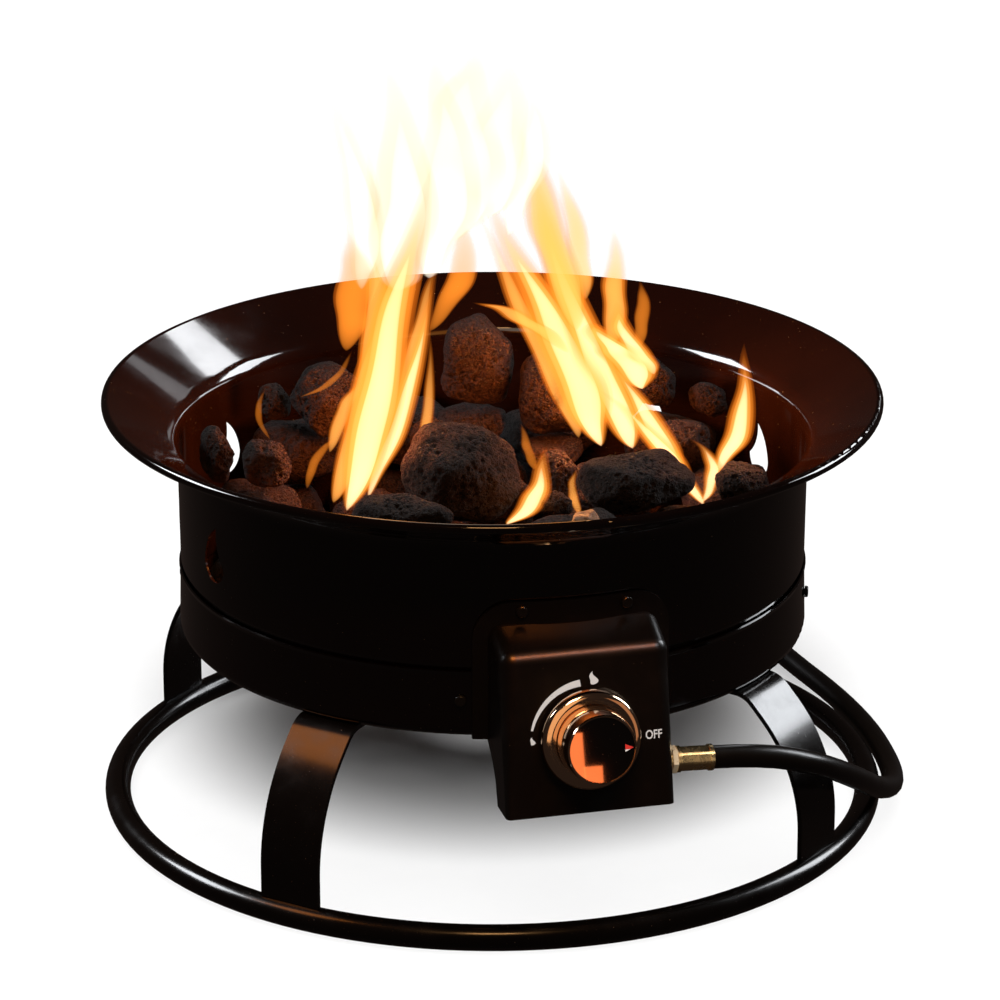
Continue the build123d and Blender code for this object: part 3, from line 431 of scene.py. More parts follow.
@dataclass(frozen=True)
class Pointer:
    """Red pointer with a pale edge on its lower side, the edge at a height in metres."""

    name: str
    red: Colour
    pale: Colour
    edge_height: float
    edge_blur: float = 0.2 * MM
    worn: Colour = (0.2, 0.15, 0.13)
    wear_scale: float = 900.0
    wear_span: Span = (0.6, 0.7)
    wear_cover: float = 0.3
    roughness: float = 0.4
    wear_roughness: float = 0.2

    def material(self) -> bpy.types.Material:
        """Makes the pointer's material."""
        paint = Paint(self.name)
        lower = paint.axis("Z").step(self.edge_height + self.edge_blur, self.edge_height - self.edge_blur)
        wear = paint.noise(self.wear_scale).step(*self.wear_span)
        printed = paint.mix(lower, self.red, self.pale)
        return paint.surface(
            Base_Color=paint.mix(wear * self.wear_cover, printed, self.worn),
            Roughness=self.roughness + wear * self.wear_roughness,
        )


FINISHES = {
    finish.name: finish
    for finish in (
        Coating("black_coat", (0.0035, 0.0033, 0.0034), (0.006, 0.005, 0.005), 0.20, 0.10, 0.25, 900.0, 0.00002),
        Coating(
            "enamel", (0.0045, 0.0014, 0.0008), (0.0070, 0.0022, 0.0014), 0.08, 0.06, 0.6, 210.0, 0.000012, 0.03
        ),
        Coating(
            "satin_black", (0.007, 0.0068, 0.007), (0.010, 0.0095, 0.0095), 0.31, 0.08, 0.0, 1500.0, 0.00003, 0.02
        ),
        Coating("black_screws", (0.018, 0.018, 0.018), (0.03, 0.028, 0.027), 0.28, 0.1, 0.0, 1600.0, 0.00002),
        Metal("zinc_steel", (0.55, 0.55, 0.54), (0.30, 0.29, 0.26), 0.32),
        Metal("spring_steel", (0.48, 0.48, 0.48), (0.25, 0.22, 0.2), 0.3),
        Metal("burner_steel", (0.30, 0.24, 0.20), (0.10, 0.055, 0.035), 0.45, 0.42),
        Metal("brass", (0.80, 0.60, 0.32), (0.42, 0.25, 0.11), 0.24, 0.5, 700.0, grain=(1.0, 0.25, 0.25)),
        Metal("knob_chrome", (0.82, 0.60, 0.42), (0.52, 0.34, 0.20), 0.10, 0.62, 1200.0, 0.000004),
        Coating("knob_face", (0.003, 0.0025, 0.0025), (0.005, 0.004, 0.004), 0.03, 0.01, 1.0, 200.0, 0.0000004),
        Pointer("pointer_red", (0.62, 0.03, 0.02), (0.75, 0.72, 0.68), 0.1336),
        Moulded("pale_collar", (0.74, 0.66, 0.52), (0.45, 0.34, 0.22), 0.35, 900.0, 0.00004),
        Moulded("hose_rubber", (0.010, 0.010, 0.011), (0.030, 0.028, 0.026), 0.30, 1500.0, 0.00003, 0.66),
        Moulded("tie_plastic", (0.02, 0.02, 0.021), (0.05, 0.05, 0.05), 0.5, 1900.0, 0.00004),
        Metal("die_cast", (0.46, 0.46, 0.47), (0.33, 0.32, 0.31), 0.48, 0.5, 1400.0, 0.00006, (1.0, 1.0, 1.0)),
        Moulded("cap_plastic", (0.022, 0.022, 0.023), (0.05, 0.05, 0.05), 0.45, 1700.0, 0.00004),
        Moulded("nut_plastic", (0.016, 0.016, 0.017), (0.05, 0.048, 0.045), 0.42, 1300.0, 0.00005),
        # Each stone's third colour is shade painted into its pores.
        Stone(
            "lava_rock", (0.009, 0.0034, 0.002), (0.0012, 0.0005, 0.0004), (0.026, 0.0095, 0.005),
            560.0, 0.0036, 0.86, 0.55,
        ),
        Stone("pale_rock", (0.42, 0.33, 0.25), (0.20, 0.13, 0.09), (0.52, 0.44, 0.36), 620.0, 0.0004, 0.6, 0.5),
    )
}


def in_scene(name: str, data: bpy.types.ID) -> bpy.types.Object:
    """Makes an object of some data and links it to the scene."""
    made = bpy.data.objects.new(name, data)
    bpy.context.scene.collection.objects.link(made)
    return made


def facing(way: Vector) -> Euler:
    """Rotation that turns a lamp or the camera to look along a direction."""
    return way.to_track_quat("-Z", "Y").to_euler()


def mesh_object(name: str, points: np.ndarray, faces: Iterable, smooth: bool = True) -> bpy.types.Object:
    """Makes an object at the origin from arrays.

    Args:
        name: The piece's name.
        points: Vertices, one row each, in metres.
        faces: Faces, each a row of vertex numbers.
        smooth: Whether its faces are shaded smooth.

    Returns:
        The object, linked to the scene.
    """
    mesh = bpy.data.meshes.new(name)
    mesh.from_pydata(np.asarray(points, float).tolist(), [], [list(map(int, face)) for face in faces])
    mesh.polygons.foreach_set("use_smooth", np.full(len(mesh.polygons), smooth))
    mesh.update()
    return in_scene(name, mesh)


def grid_faces(rows: int, columns: int, wrap: bool) -> np.ndarray:
    """Quads of a grid of points, row after row.

    Args:
        rows: Points along the first parameter.
        columns: Points along the second.
        wrap: Whether the last column joins the first.

    Returns:
        One row of four vertex numbers for each quad.
    """
    first = np.arange(rows - 1)[:, None] * columns
    across = np.arange(columns if wrap else columns - 1)[None, :]
    beside = (across + 1) % columns
    quads = np.stack([first + across, first + beside, first + columns + beside, first + columns + across], axis=-1)
    return quads.reshape(-1, 4)


def closed_tube(name: str, rings: np.ndarray) -> bpy.types.Object:
    """Skin over rings of points, with each end drawn to one point.

    Args:
        name: The piece's name.
        rings: Points as rings, points round each ring, and xyz; they run anticlockwise seen from the last ring.

    Returns:
        The closed surface's object.
    """
    count, around, _ = rings.shape
    points = np.vstack([rings.reshape(-1, 3), rings[0].mean(0), rings[-1].mean(0)])
    faces = [tuple(face) for face in grid_faces(count, around, True)]
    spin = np.arange(around)
    last = (count - 1) * around
    faces += list(zip((spin + 1) % around, spin, np.full(around, count * around)))
    faces += list(zip(last + spin, last + (spin + 1) % around, np.full(around, count * around + 1)))
    return mesh_object(name, points, faces)


def dress(piece: bpy.types.Object, material: bpy.types.Material) -> None:
    """Gives an object one material on its own slots."""
    if not piece.material_slots:
        piece.data.materials.append(None)
    for place in piece.material_slots:
        place.link = "OBJECT"
        place.material = material


# Shares of a way just inside its ends, so that no section shrinks to a point.
ENDS = (0.002, 0.998)

# Large numbers that part the hashes of neighbouring cells, and pits' radii and depth as shares of a cell.
HASH_AXES = (73856093, 19349663, 83492791)
HASH_SEED = 2654435761
HASH_STIR = 1274126177
HASH_MASK = 0xFFFFFF
PIT_LEAST = 0.25
PIT_SPREAD = 0.35
PIT_FLOOR = 0.4


def scatter(cell: np.ndarray, seed: int) -> np.ndarray:
    """Number from 0 to 1 for each whole-numbered cell, by an integer hash.

    Args:
        cell: Cells' whole coordinates, xyz last.
        seed: Chooses another set.

    Returns:
        One number a cell.
    """
    x, y, z = (cell[..., k].astype(np.int64) * prime for k, prime in enumerate(HASH_AXES))
    mixed = x ^ y ^ z ^ (seed * HASH_SEED)
    mixed = (mixed ^ (mixed >> 13)) * HASH_STIR
    return ((mixed ^ (mixed >> 16)) & HASH_MASK) / float(HASH_MASK)


def value_noise(points: np.ndarray, size: float, seed: int) -> np.ndarray:
    """Smooth noise: the eight corners' numbers of each cell, blended by a smooth step along each axis.

    Args:
        points: Where it is read, in metres.
        size: A cell's size, in metres.
        seed: Chooses another noise.

    Returns:
        One number from 0 to 1 for each point.
    """
    scaled = points / size
    cell = np.floor(scaled)
    part = scaled - cell
    blend = part * part * (3 - 2 * part)
    total = np.zeros(len(points))
    for corner in np.ndindex(2, 2, 2):
        share = np.prod(np.where(np.array(corner), blend, 1 - blend), axis=1)
        total += share * scatter(cell + corner, seed)
    return total


def pits(points: np.ndarray, size: float, seed: int) -> np.ndarray:
    """Round pits, one at a scattered place in each cell with its own radius: 1 minus the squared distance.

    Args:
        points: Where they are read, in metres.
        size: A cell's size, in metres.
        seed: Chooses another set.

    Returns:
        Depth from 0, outside a pit, to 1 at its middle.
    """
    scaled = points / size
    cell = np.floor(scaled)
    depth = np.zeros(len(points))
    for corner in np.ndindex(3, 3, 3):
        own = cell + np.array(corner) - 1
        middle = own + np.stack([scatter(own, seed + k) for k in (1, 2, 3)], axis=1)
        radius = PIT_LEAST + PIT_SPREAD * scatter(own, seed + 4)
        away = np.linalg.norm(scaled - middle, axis=1) / radius
        depth = np.maximum(depth, (1 - away**2) * (PIT_FLOOR + radius))
    return np.clip(depth, 0, 1)


def cube_sphere(cells: int) -> tuple[np.ndarray, np.ndarray]:
    """Unit sphere as six grids: a cube's faces, their points spaced evenly in angle and pushed out to the sphere.

    Args:
        cells: Quads along each side of a face.

    Returns:
        The points and the quads, facing outwards, with shared edges.
    """
    side = np.tan(np.linspace(-math.pi / 4, math.pi / 4, cells + 1))
    first, second = np.meshgrid(side, side, indexing="ij")
    points, quads = [], []
    for axis in range(3):
        for way in (1.0, -1.0):
            block = np.empty((cells + 1, cells + 1, 3))
            block[..., axis] = way
            block[..., (axis + 1) % 3] = first
            block[..., (axis + 2) % 3] = second * way
            quads.append(grid_faces(cells + 1, cells + 1, False) + len(points) * (cells + 1) ** 2)
            points.append(block.reshape(-1, 3))
    flat = np.vstack(points)
    _, kept, number = np.unique(np.round(flat, 6), axis=0, return_index=True, return_inverse=True)
    sphere = flat[kept] / np.linalg.norm(flat[kept], axis=1, keepdims=True)
    return sphere, number.reshape(-1)[np.vstack(quads)][:, ::-1]


def node_triangles(name: str) -> tuple[np.ndarray, np.ndarray]:
    """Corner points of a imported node, with doubled vertices merged, and its triangles."""
    mesh = frame["nodes"][name].data
    points = np.empty(len(mesh.vertices) * 3, np.float32)
    mesh.vertices.foreach_get("co", points)
    mesh.calc_loop_triangles()
    corners = np.empty(len(mesh.loop_triangles) * 3, np.int32)
    mesh.loop_triangles.foreach_get("vertices", corners)
    merged, number = np.unique(np.round(points.reshape(-1, 3), 6), axis=0, return_inverse=True)
    return merged.astype(float), number.reshape(-1)[corners].reshape(-1, 3)


def loose_solids(points: np.ndarray, triangles: np.ndarray) -> list[np.ndarray]:
    """Triangles of each connected solid: labels spread from vertex to vertex until none changes.

    Args:
        points: Vertices.
        triangles: Rows of three vertex numbers.

    Returns:
        The triangles of each solid, in a steady order.
    """
    label = np.arange(len(points))
    while True:
        lowest = label[triangles].min(axis=1)
        before = label.copy()
        for corner in range(3):
            np.minimum.at(label, triangles[:, corner], lowest)
        if (label == before).all():
            break
    own = label[triangles[:, 0]]
    return [triangles[own == number] for number in np.unique(own)]


@dataclass
class LavaBed:
    """The loose stones: each packed stone's faces give a rounded, pitted surface of the same size and place.

    A face whose doubled area is under sliver is left out, and faces within same_turn and same_reach are one plane.
    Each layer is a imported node, its slot and the quads along each side of a stone's six grids.
    """

    roundness: float = 13.0
    lump_size: float = 17 * MM
    lump_depth: float = 2.6 * MM
    nub_size: float = 6.5 * MM
    nub_depth: float = 1.3 * MM
    pit_size: float = 4.6 * MM
    pit_depth: float = 1.7 * MM
    pore_size: float = 2.4 * MM
    pore_depth: float = 0.8 * MM
    sliver: float = 1e-9
    same_turn: float = 1 / 20
    same_reach: float = 0.25 * MM
    pebble_smooth: float = 0.8
    layers: tuple = (
        ("lava_rocks_floor", "lava_rock", 16),
        ("lava_rocks_middle", "lava_rock", 30),
        ("lava_rocks_top", "lava_rock", 46),
        ("pale_pebbles", "pale_rock", 24),
    )

    def stone(
        self, name: str, points: np.ndarray, triangles: np.ndarray, cells: int, seed: int, smooth: float
    ) -> bpy.types.Object:
        """One stone: along each direction u the surface lies at the p-norm of the face planes' reaches, less pits.

        Args:
            name: The piece's name.
            points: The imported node's vertices.
            triangles: The stone's own triangles.
            cells: Quads along each side of the sphere's six grids.
            seed: Its own noise.
            smooth: Share of the roughness that is left off, 0 for lava and near 1 for a pebble.

        Returns:
            The stone's object.
        """
        corners = points[triangles]
        middle = (corners.reshape(-1, 3).min(0) + corners.reshape(-1, 3).max(0)) / 2
        normals = np.cross(corners[:, 1] - corners[:, 0], corners[:, 2] - corners[:, 0])
        area = np.linalg.norm(normals, axis=1, keepdims=True)
        full = area[:, 0] > self.sliver
        normals = (normals / area)[full]
        reach = np.einsum("ij,ij->i", normals, (corners[:, 0] - middle)[full])
        planes = np.round(np.column_stack([normals / self.same_turn, reach / self.same_reach]))
        _, kept = np.unique(planes, axis=0, return_index=True)
        sphere, quads = cube_sphere(cells)
        facing = np.clip(sphere @ normals[kept].T, 0, None) / reach[kept]
        radius = (facing**self.roundness).sum(axis=1) ** (-1 / self.roundness)
        skin = middle + sphere * radius[:, None]
        rough = 1 - smooth  # each relief below takes seeds of its own
        dent = self.lump_depth * value_noise(skin, self.lump_size, seed)
        dent += self.nub_depth * value_noise(skin, self.nub_size, seed + 10)
        dent += rough * self.pit_depth * pits(skin, self.pit_size, seed + 20)
        dent += rough * self.pore_depth * pits(skin, self.pore_size, seed + 30)
        return mesh_object(name, skin - sphere * dent[:, None], quads)

    def build(self, materials: dict[str, bpy.types.Material]) -> None:
        """Makes every stone of each packed layer, in place of its node."""
        for number, (layer, slot, cells) in enumerate(self.layers):
            smooth = self.pebble_smooth if slot == "pale_rock" else 0.0
            points, triangles = node_triangles(layer)
            solids = loose_solids(points, triangles)
            for count, solid in enumerate(solids):
                stone = self.stone(f"{layer}_{count + 1:02d}", points, solid, cells, 100 * number + count, smooth)
                dress(stone, materials[slot])
                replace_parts(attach(stone, "fire_pit"), layer)
            LOG.info("%s: %d stones", layer, len(solids))


@dataclass
class GasHose:
    """Rubber hose: out of the box, over the ring, round it on the floor and into a neat coil behind."""

    diameter: float = 14 * MM
    length: float = 3044 * MM
    exit: Place = (0.079424, -0.216, 0.103332)
    route: tuple = (
        (0.110395, -0.216, 0.101980),
        (0.150, -0.205, 0.087),
        (0.182, -0.178, 0.0635),
        (0.213, -0.136, 0.034),
        (0.238, -0.092, 0.015),
        (0.252, -0.044, 0.0077),
        (0.2575, 0.012, 0.0073),
        (0.254, 0.075, 0.0073),
        (0.243, 0.140, 0.0073),
        (0.236, 0.203, 0.0077),
        (0.2338, 0.263, 0.0085),
        (0.2338, 0.320, 0.0085),
    )
    coil_centre: tuple[float, float] = (0.142, 0.334)
    coil_reach: float = 91.8 * MM
    coil_pitch: float = 14.6 * MM
    coil_floor: float = 8.5 * MM
    half_turns: int = 5
    points_per_half: int = 12
    tail: float = 38 * MM
    bevel_steps: int = 6
    steps_per_point: int = 4

    def coil_points(self) -> list[np.ndarray]:
        """Control points of the coil.

        A half turn is a half circle about the middle of its two ends. It winds in on the floor, rises by one pitch
        over the half turn at the middle, by half a cosine, and winds out again on top. The points stand a little
        outside the circle, so that the smooth spline between them runs on it.

        Returns:
            The points from the coil's start to the end of its straight tail.
        """
        inward = [self.coil_reach - self.coil_pitch / 2 * step for step in range(self.half_turns + 1)]
        reaches = inward + inward[:0:-1]
        turn = (np.arange(self.points_per_half) + 0.5) * math.pi / self.points_per_half
        swell = 2 / (1 + math.cos(math.pi / self.points_per_half))
        points = []
        side = 1.0
        for number, (near, far) in enumerate(zip(reaches, reaches[1:])):
            radius = (near + far) / 2
            middle = self.coil_centre[0] + side * (near - far) / 2
            rise = np.full(len(turn), number > self.half_turns)
            if number == self.half_turns:
                rise = (1 - np.cos(turn)) / 2
            x = middle + side * radius * swell * np.cos(turn)
            y = self.coil_centre[1] + side * radius * swell * np.sin(turn)
            points += list(np.column_stack([x, y, self.coil_floor + self.coil_pitch * rise]))
            side = -side
        last = reaches[-1] + self.coil_pitch / 4
        middle = self.coil_centre[0] + reaches[-1] - last
        quarter = turn[: self.points_per_half // 2]
        top = np.full(len(quarter), self.coil_floor + self.coil_pitch)
        x = middle + last * swell * np.cos(quarter)
        y = self.coil_centre[1] + last * swell * np.sin(quarter)
        points += list(np.column_stack([x, y, top]))
        end_y = self.coil_centre[1] + last
        points.append(np.array([middle - self.tail / 2, end_y, top[0]]))
        points.append(np.array([middle - self.tail, end_y, top[0]]))
        return points

    def build(self, materials: dict[str, bpy.types.Material]) -> None:
        curve = bpy.data.curves.new("gas_hose_line", "CURVE")
        curve.dimensions = "3D"
        curve.bevel_depth = self.diameter / 2
        curve.bevel_resolution = self.bevel_steps
        curve.resolution_u = self.steps_per_point
        curve.use_fill_caps = True
        line = curve.splines.new("NURBS")
        points = [np.array(point) for point in (self.exit, *self.route)] + self.coil_points()
        line.points.add(len(points) - 1)
        line.points.foreach_set("co", np.column_stack([points, np.ones(len(points))]).ravel())
        line.order_u = 3
        line.use_endpoint_u = True
        hose = in_scene("gas_hose_line", curve)
        hose.data.materials.append(materials["hose_rubber"])
        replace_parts(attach(hose, "fire_pit"), "gas_hose", "gas_hose_coil")
        LOG.info("gas hose: %d control points", len(points))


def link_light(lamp: bpy.types.Object, names: Iterable[str], spare: bool = False, shades: bool = False) -> None:
    """Limits what a lamp lights, or what shades it, by light linking.

    Args:
        lamp: The lamp's object.
        names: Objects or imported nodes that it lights.
        spare: Whether these are instead the only ones that it doesn't light.
        shades: Whether these are instead the only ones that cast its shadow.
    """
    group = bpy.data.collections.new(f"{lamp.name}_linked")
    for name in names:
        group.objects.link(frame["nodes"].get(name) or bpy.data.objects[name])
    if shades:
        lamp.light_linking.blocker_collection = group
    else:
        lamp.light_linking.receiver_collection = group
    for member in group.collection_objects:
        member.light_linking.link_state = "EXCLUDE" if spare else "INCLUDE"


@dataclass(frozen=True)
class SoftBox:
    """A flat lamp: place, aim, size, power, colour, whether gloss and matt show it, and what alone it lights."""

    name: str
    place: Place
    aim: Place
    size: Span
    watts: float
    colour: Colour = (1.0, 1.0, 1.0)
    in_gloss: bool = True
    on_matt: bool = True
    only: tuple[str, ...] = ()

    def build(self) -> None:
        """Sets the lamp up."""
        lamp = bpy.data.lights.new(self.name, "AREA")
        lamp.shape = "RECTANGLE"
        lamp.size, lamp.size_y = self.size
        lamp.energy = self.watts
        lamp.color = self.colour
        made = in_scene(self.name, lamp)
        made.location = self.place
        made.rotation_euler = facing(Vector(self.aim) - Vector(self.place))
        made.visible_glossy = self.in_gloss
        made.visible_diffuse = self.on_matt
        made.visible_camera = False
        link_light(made, self.only or ("floor",), spare=not self.only)


@dataclass(frozen=True)
class FloorLight:
    """Even light on the floor alone: where it comes from, its strength, its angular width and what shades it."""

    name: str
    comes_from: Place
    strength: float
    wide: float
    shaded_by: tuple[str, ...] = ()

    def build(self) -> None:
        """Sets the light up."""
        lamp = bpy.data.lights.new(self.name, "SUN")
        lamp.energy = self.strength
        lamp.angle = self.wide
        made = in_scene(self.name, lamp)
        made.rotation_euler = facing(-Vector(self.comes_from))
        link_light(made, ("floor",))
        if self.shaded_by:
            link_light(made, self.shaded_by, shades=True)


@dataclass
class DialMarks:
    """Printed marks round the knob: a band that widens from low to high, two plain flames, and OFF."""

    centre: Place = (0.0, -0.229775, 0.130)
    tilt: float = math.radians(8.5)
    sunk: float = 0.02 * MM
    proud: float = 0.10 * MM
    band_outer: float = 35.6 * MM
    band_low: float = 34.2 * MM
    band_high: float = 31.4 * MM
    band_from: float = math.radians(168)
    band_to: float = math.radians(97)
    band_points: int = 48
    flames: tuple = (
        ("dial_flame_high", 3.6 * MM, 31.6 * MM, 8.2 * MM, 6.2 * MM),
        ("dial_flame_low", -34.2 * MM, -1.4 * MM, 5.0 * MM, 3.6 * MM),
    )
    flame_points: int = 36
    off: tuple = ("dial_off", "OFF", 39.4 * MM, -2.2 * MM, 5.2 * MM)
    letter_width: float = 0.78
    letter_weight: float = 0.12 * MM
    cap_height: float = 0.7
    ink: Colour = (0.60, 0.58, 0.56)
    worn_ink: Colour = (0.35, 0.33, 0.31)

    def on_face(self, flat: np.ndarray) -> np.ndarray:
        """Lifts flat x, y and height off the face into place on the leaning face."""
        across = np.array([1.0, 0.0, 0.0])
        up = np.array([0.0, math.sin(self.tilt), math.cos(self.tilt)])
        out = np.array([0.0, -math.cos(self.tilt), math.sin(self.tilt)])
        return np.array(self.centre) + flat[:, :1] * across + flat[:, 1:2] * up + flat[:, 2:3] * out

    def slab(self, name: str, left: np.ndarray, right: np.ndarray) -> bpy.types.Object:
        """Thin printed slab between two edges.

        Args:
            name: The piece's name.
            left: Points of one edge, x and y on the face.
            right: The matching points of the other edge, on the right when looking along them.

        Returns:
            The slab's object, closed all round.
        """
        count = len(left)
        low, high = np.full((count, 1), self.sunk), np.full((count, 1), self.proud)
        corners = ((left, low), (left, high), (right, high), (right, low))
        ring = np.stack([np.hstack(corner) for corner in corners], axis=1)
        faces = [tuple(face) for face in grid_faces(count, 4, True)]
        faces += [(3, 2, 1, 0), tuple((count - 1) * 4 + np.arange(4))]
        return mesh_object(name, self.on_face(ring.reshape(-1, 3)), faces, smooth=False)

    def band(self) -> bpy.types.Object:
        """The band: an arc whose inner radius falls steadily from low to high."""
        turn = np.linspace(self.band_from, self.band_to, self.band_points)
        inner = np.linspace(self.band_low, self.band_high, self.band_points)
        way = np.column_stack([np.cos(turn), np.sin(turn)])
        return self.slab("dial_band", way * self.band_outer, way * inner[:, None])

    def flame(self, name: str, x: float, y: float, height: float, width: float) -> bpy.types.Object:
        """A plain flame: a drop with a curved lean, its half width going as the root of s times (1 - s) ** 1.35.

        Args:
            name: The piece's name.
            x: Middle across the face.
            y: Foot's height on the face.
            height: Its height.
            width: Its widest.

        Returns:
            The flame's object.
        """
        share = np.linspace(*ENDS, self.flame_points)
        half = width * 1.15 * np.sqrt(share) * (1 - share) ** 1.35
        lean = width * 0.14 * np.sin(share * 2.0 * math.pi)
        left = np.column_stack([x + lean - half, y + share * height])
        right = np.column_stack([x + lean + half, y + share * height])
        return self.slab(name, left, right)

    def word(self, name: str, text: str, x: float, y: float, height: float) -> bpy.types.Object:
        """Printed word.

        Args:
            name: The piece's name.
            text: What it says.
            x: Its middle across the face.
            y: Its middle's height on the face.
            height: Its capitals' height.

        Returns:
            The word's object.
        """
        letters = bpy.data.curves.new(name, "FONT")
        letters.body = text
        letters.size = height / self.cap_height
        letters.align_x = "CENTER"
        letters.align_y = "CENTER"
        letters.extrude = self.proud / 2
        letters.offset = self.letter_weight
        letters.resolution_u = 6
        drawn = in_scene(name, letters)
        bpy.context.view_layer.update()
        mesh = bpy.data.meshes.new_from_object(drawn.evaluated_get(bpy.context.evaluated_depsgraph_get()))
        bpy.data.objects.remove(drawn)
        flat = np.empty(len(mesh.vertices) * 3, np.float32)
        mesh.vertices.foreach_get("co", flat)
        flat = flat.reshape(-1, 3).astype(float) * (self.letter_width, 1.0, 1.0) + (x, y, self.proud / 2)
        mesh.vertices.foreach_set("co", self.on_face(flat).ravel())
        mesh.update()
        return in_scene(name, mesh)

    def build(self) -> None:
        """Makes the marks and fixes them to the control box."""
        ink = Moulded("dial_ink", self.ink, self.worn_ink, 0.5, 1800.0, 0.00001, 0.6).material()
        marks = [self.band(), *(self.flame(*flame) for flame in self.flames), self.word(*self.off)]
        for mark in marks:
            dress(mark, ink)
            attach(mark, "fire_pit")
        lit = tuple(mark.name for mark in marks) + ("knob_pointer",)
        SoftBox("dial_light", (-0.5, -2.0, 1.6), self.centre, (1.0, 1.0), 60.0, only=lit).build()
        LOG.info("dial marks: %d", len(marks))


class Heat(Enum):
    """One layer of a flame: colour, brightness, what it hides per metre and its share of the tongue's width."""

    EDGE = ((1.0, 0.20, 0.01), 1.45, 42.0, 1.0)
    OUTER = ((1.0, 0.31, 0.03), 1.9, 60.0, 0.86)
    INNER = ((1.0, 0.50, 0.12), 2.3, 85.0, 0.68)
    CORE = ((1.0, 0.78, 0.46), 3.4, 190.0, 0.48)
    SHEER = ((1.0, 0.60, 0.30), 1.30, 30.0, 1.0)
    VEIL = ((1.0, 0.88, 0.70), 1.40, 40.0, 0.86)
    GLOW = ((1.0, 0.965, 0.87), 1.80, 110.0, 0.60)

    def material(self) -> bpy.types.Material:
        """Makes the flame's clear glowing volume: what it hides it gives back in its own colour."""
        colour, bright, thick, _ = self.value
        paint = Paint(f"flame_{self.name.lower()}")
        hides = paint.node("ShaderNodeVolumeAbsorption", None, {"Color": (0.0, 0.0, 0.0), "Density": thick})
        glows = paint.node("ShaderNodeEmission", None, {"Color": colour, "Strength": thick * bright})
        both = paint.node("ShaderNodeAddShader", None, {0: hides, 1: glows})
        paint.end(both, volume=True)
        return paint.material


LAYERS = {
    "hot": (Heat.EDGE, Heat.OUTER, Heat.INNER, Heat.CORE),
    "warm": (Heat.EDGE, Heat.OUTER, Heat.INNER),
    "thin": (Heat.EDGE, Heat.OUTER),
    "high": (Heat.SHEER, Heat.VEIL, Heat.GLOW),
    "veil": (Heat.VEIL,),
}


@dataclass(frozen=True)
class Tongue:
    """One tongue of flame, in millimetres: foot, middle and tip, each across, away and up as the camera sees it,
    its half width at the widest, and its layers."""

    foot: Place
    middle: Place
    tip: Place
    width: float
    layers: str


def waves(way: np.ndarray, number: int, parts: tuple) -> np.ndarray:
    """Sum of sines along a tongue.

    Args:
        way: How far along, from 0 to 1.
        number: The tongue's number, which shifts every sine.
        parts: Each sine's share, its rate and how far the number shifts it.

    Returns:
        The sum at each place.
    """
    return sum(share * np.sin(rate * way + shift * number) for share, rate, shift in parts)


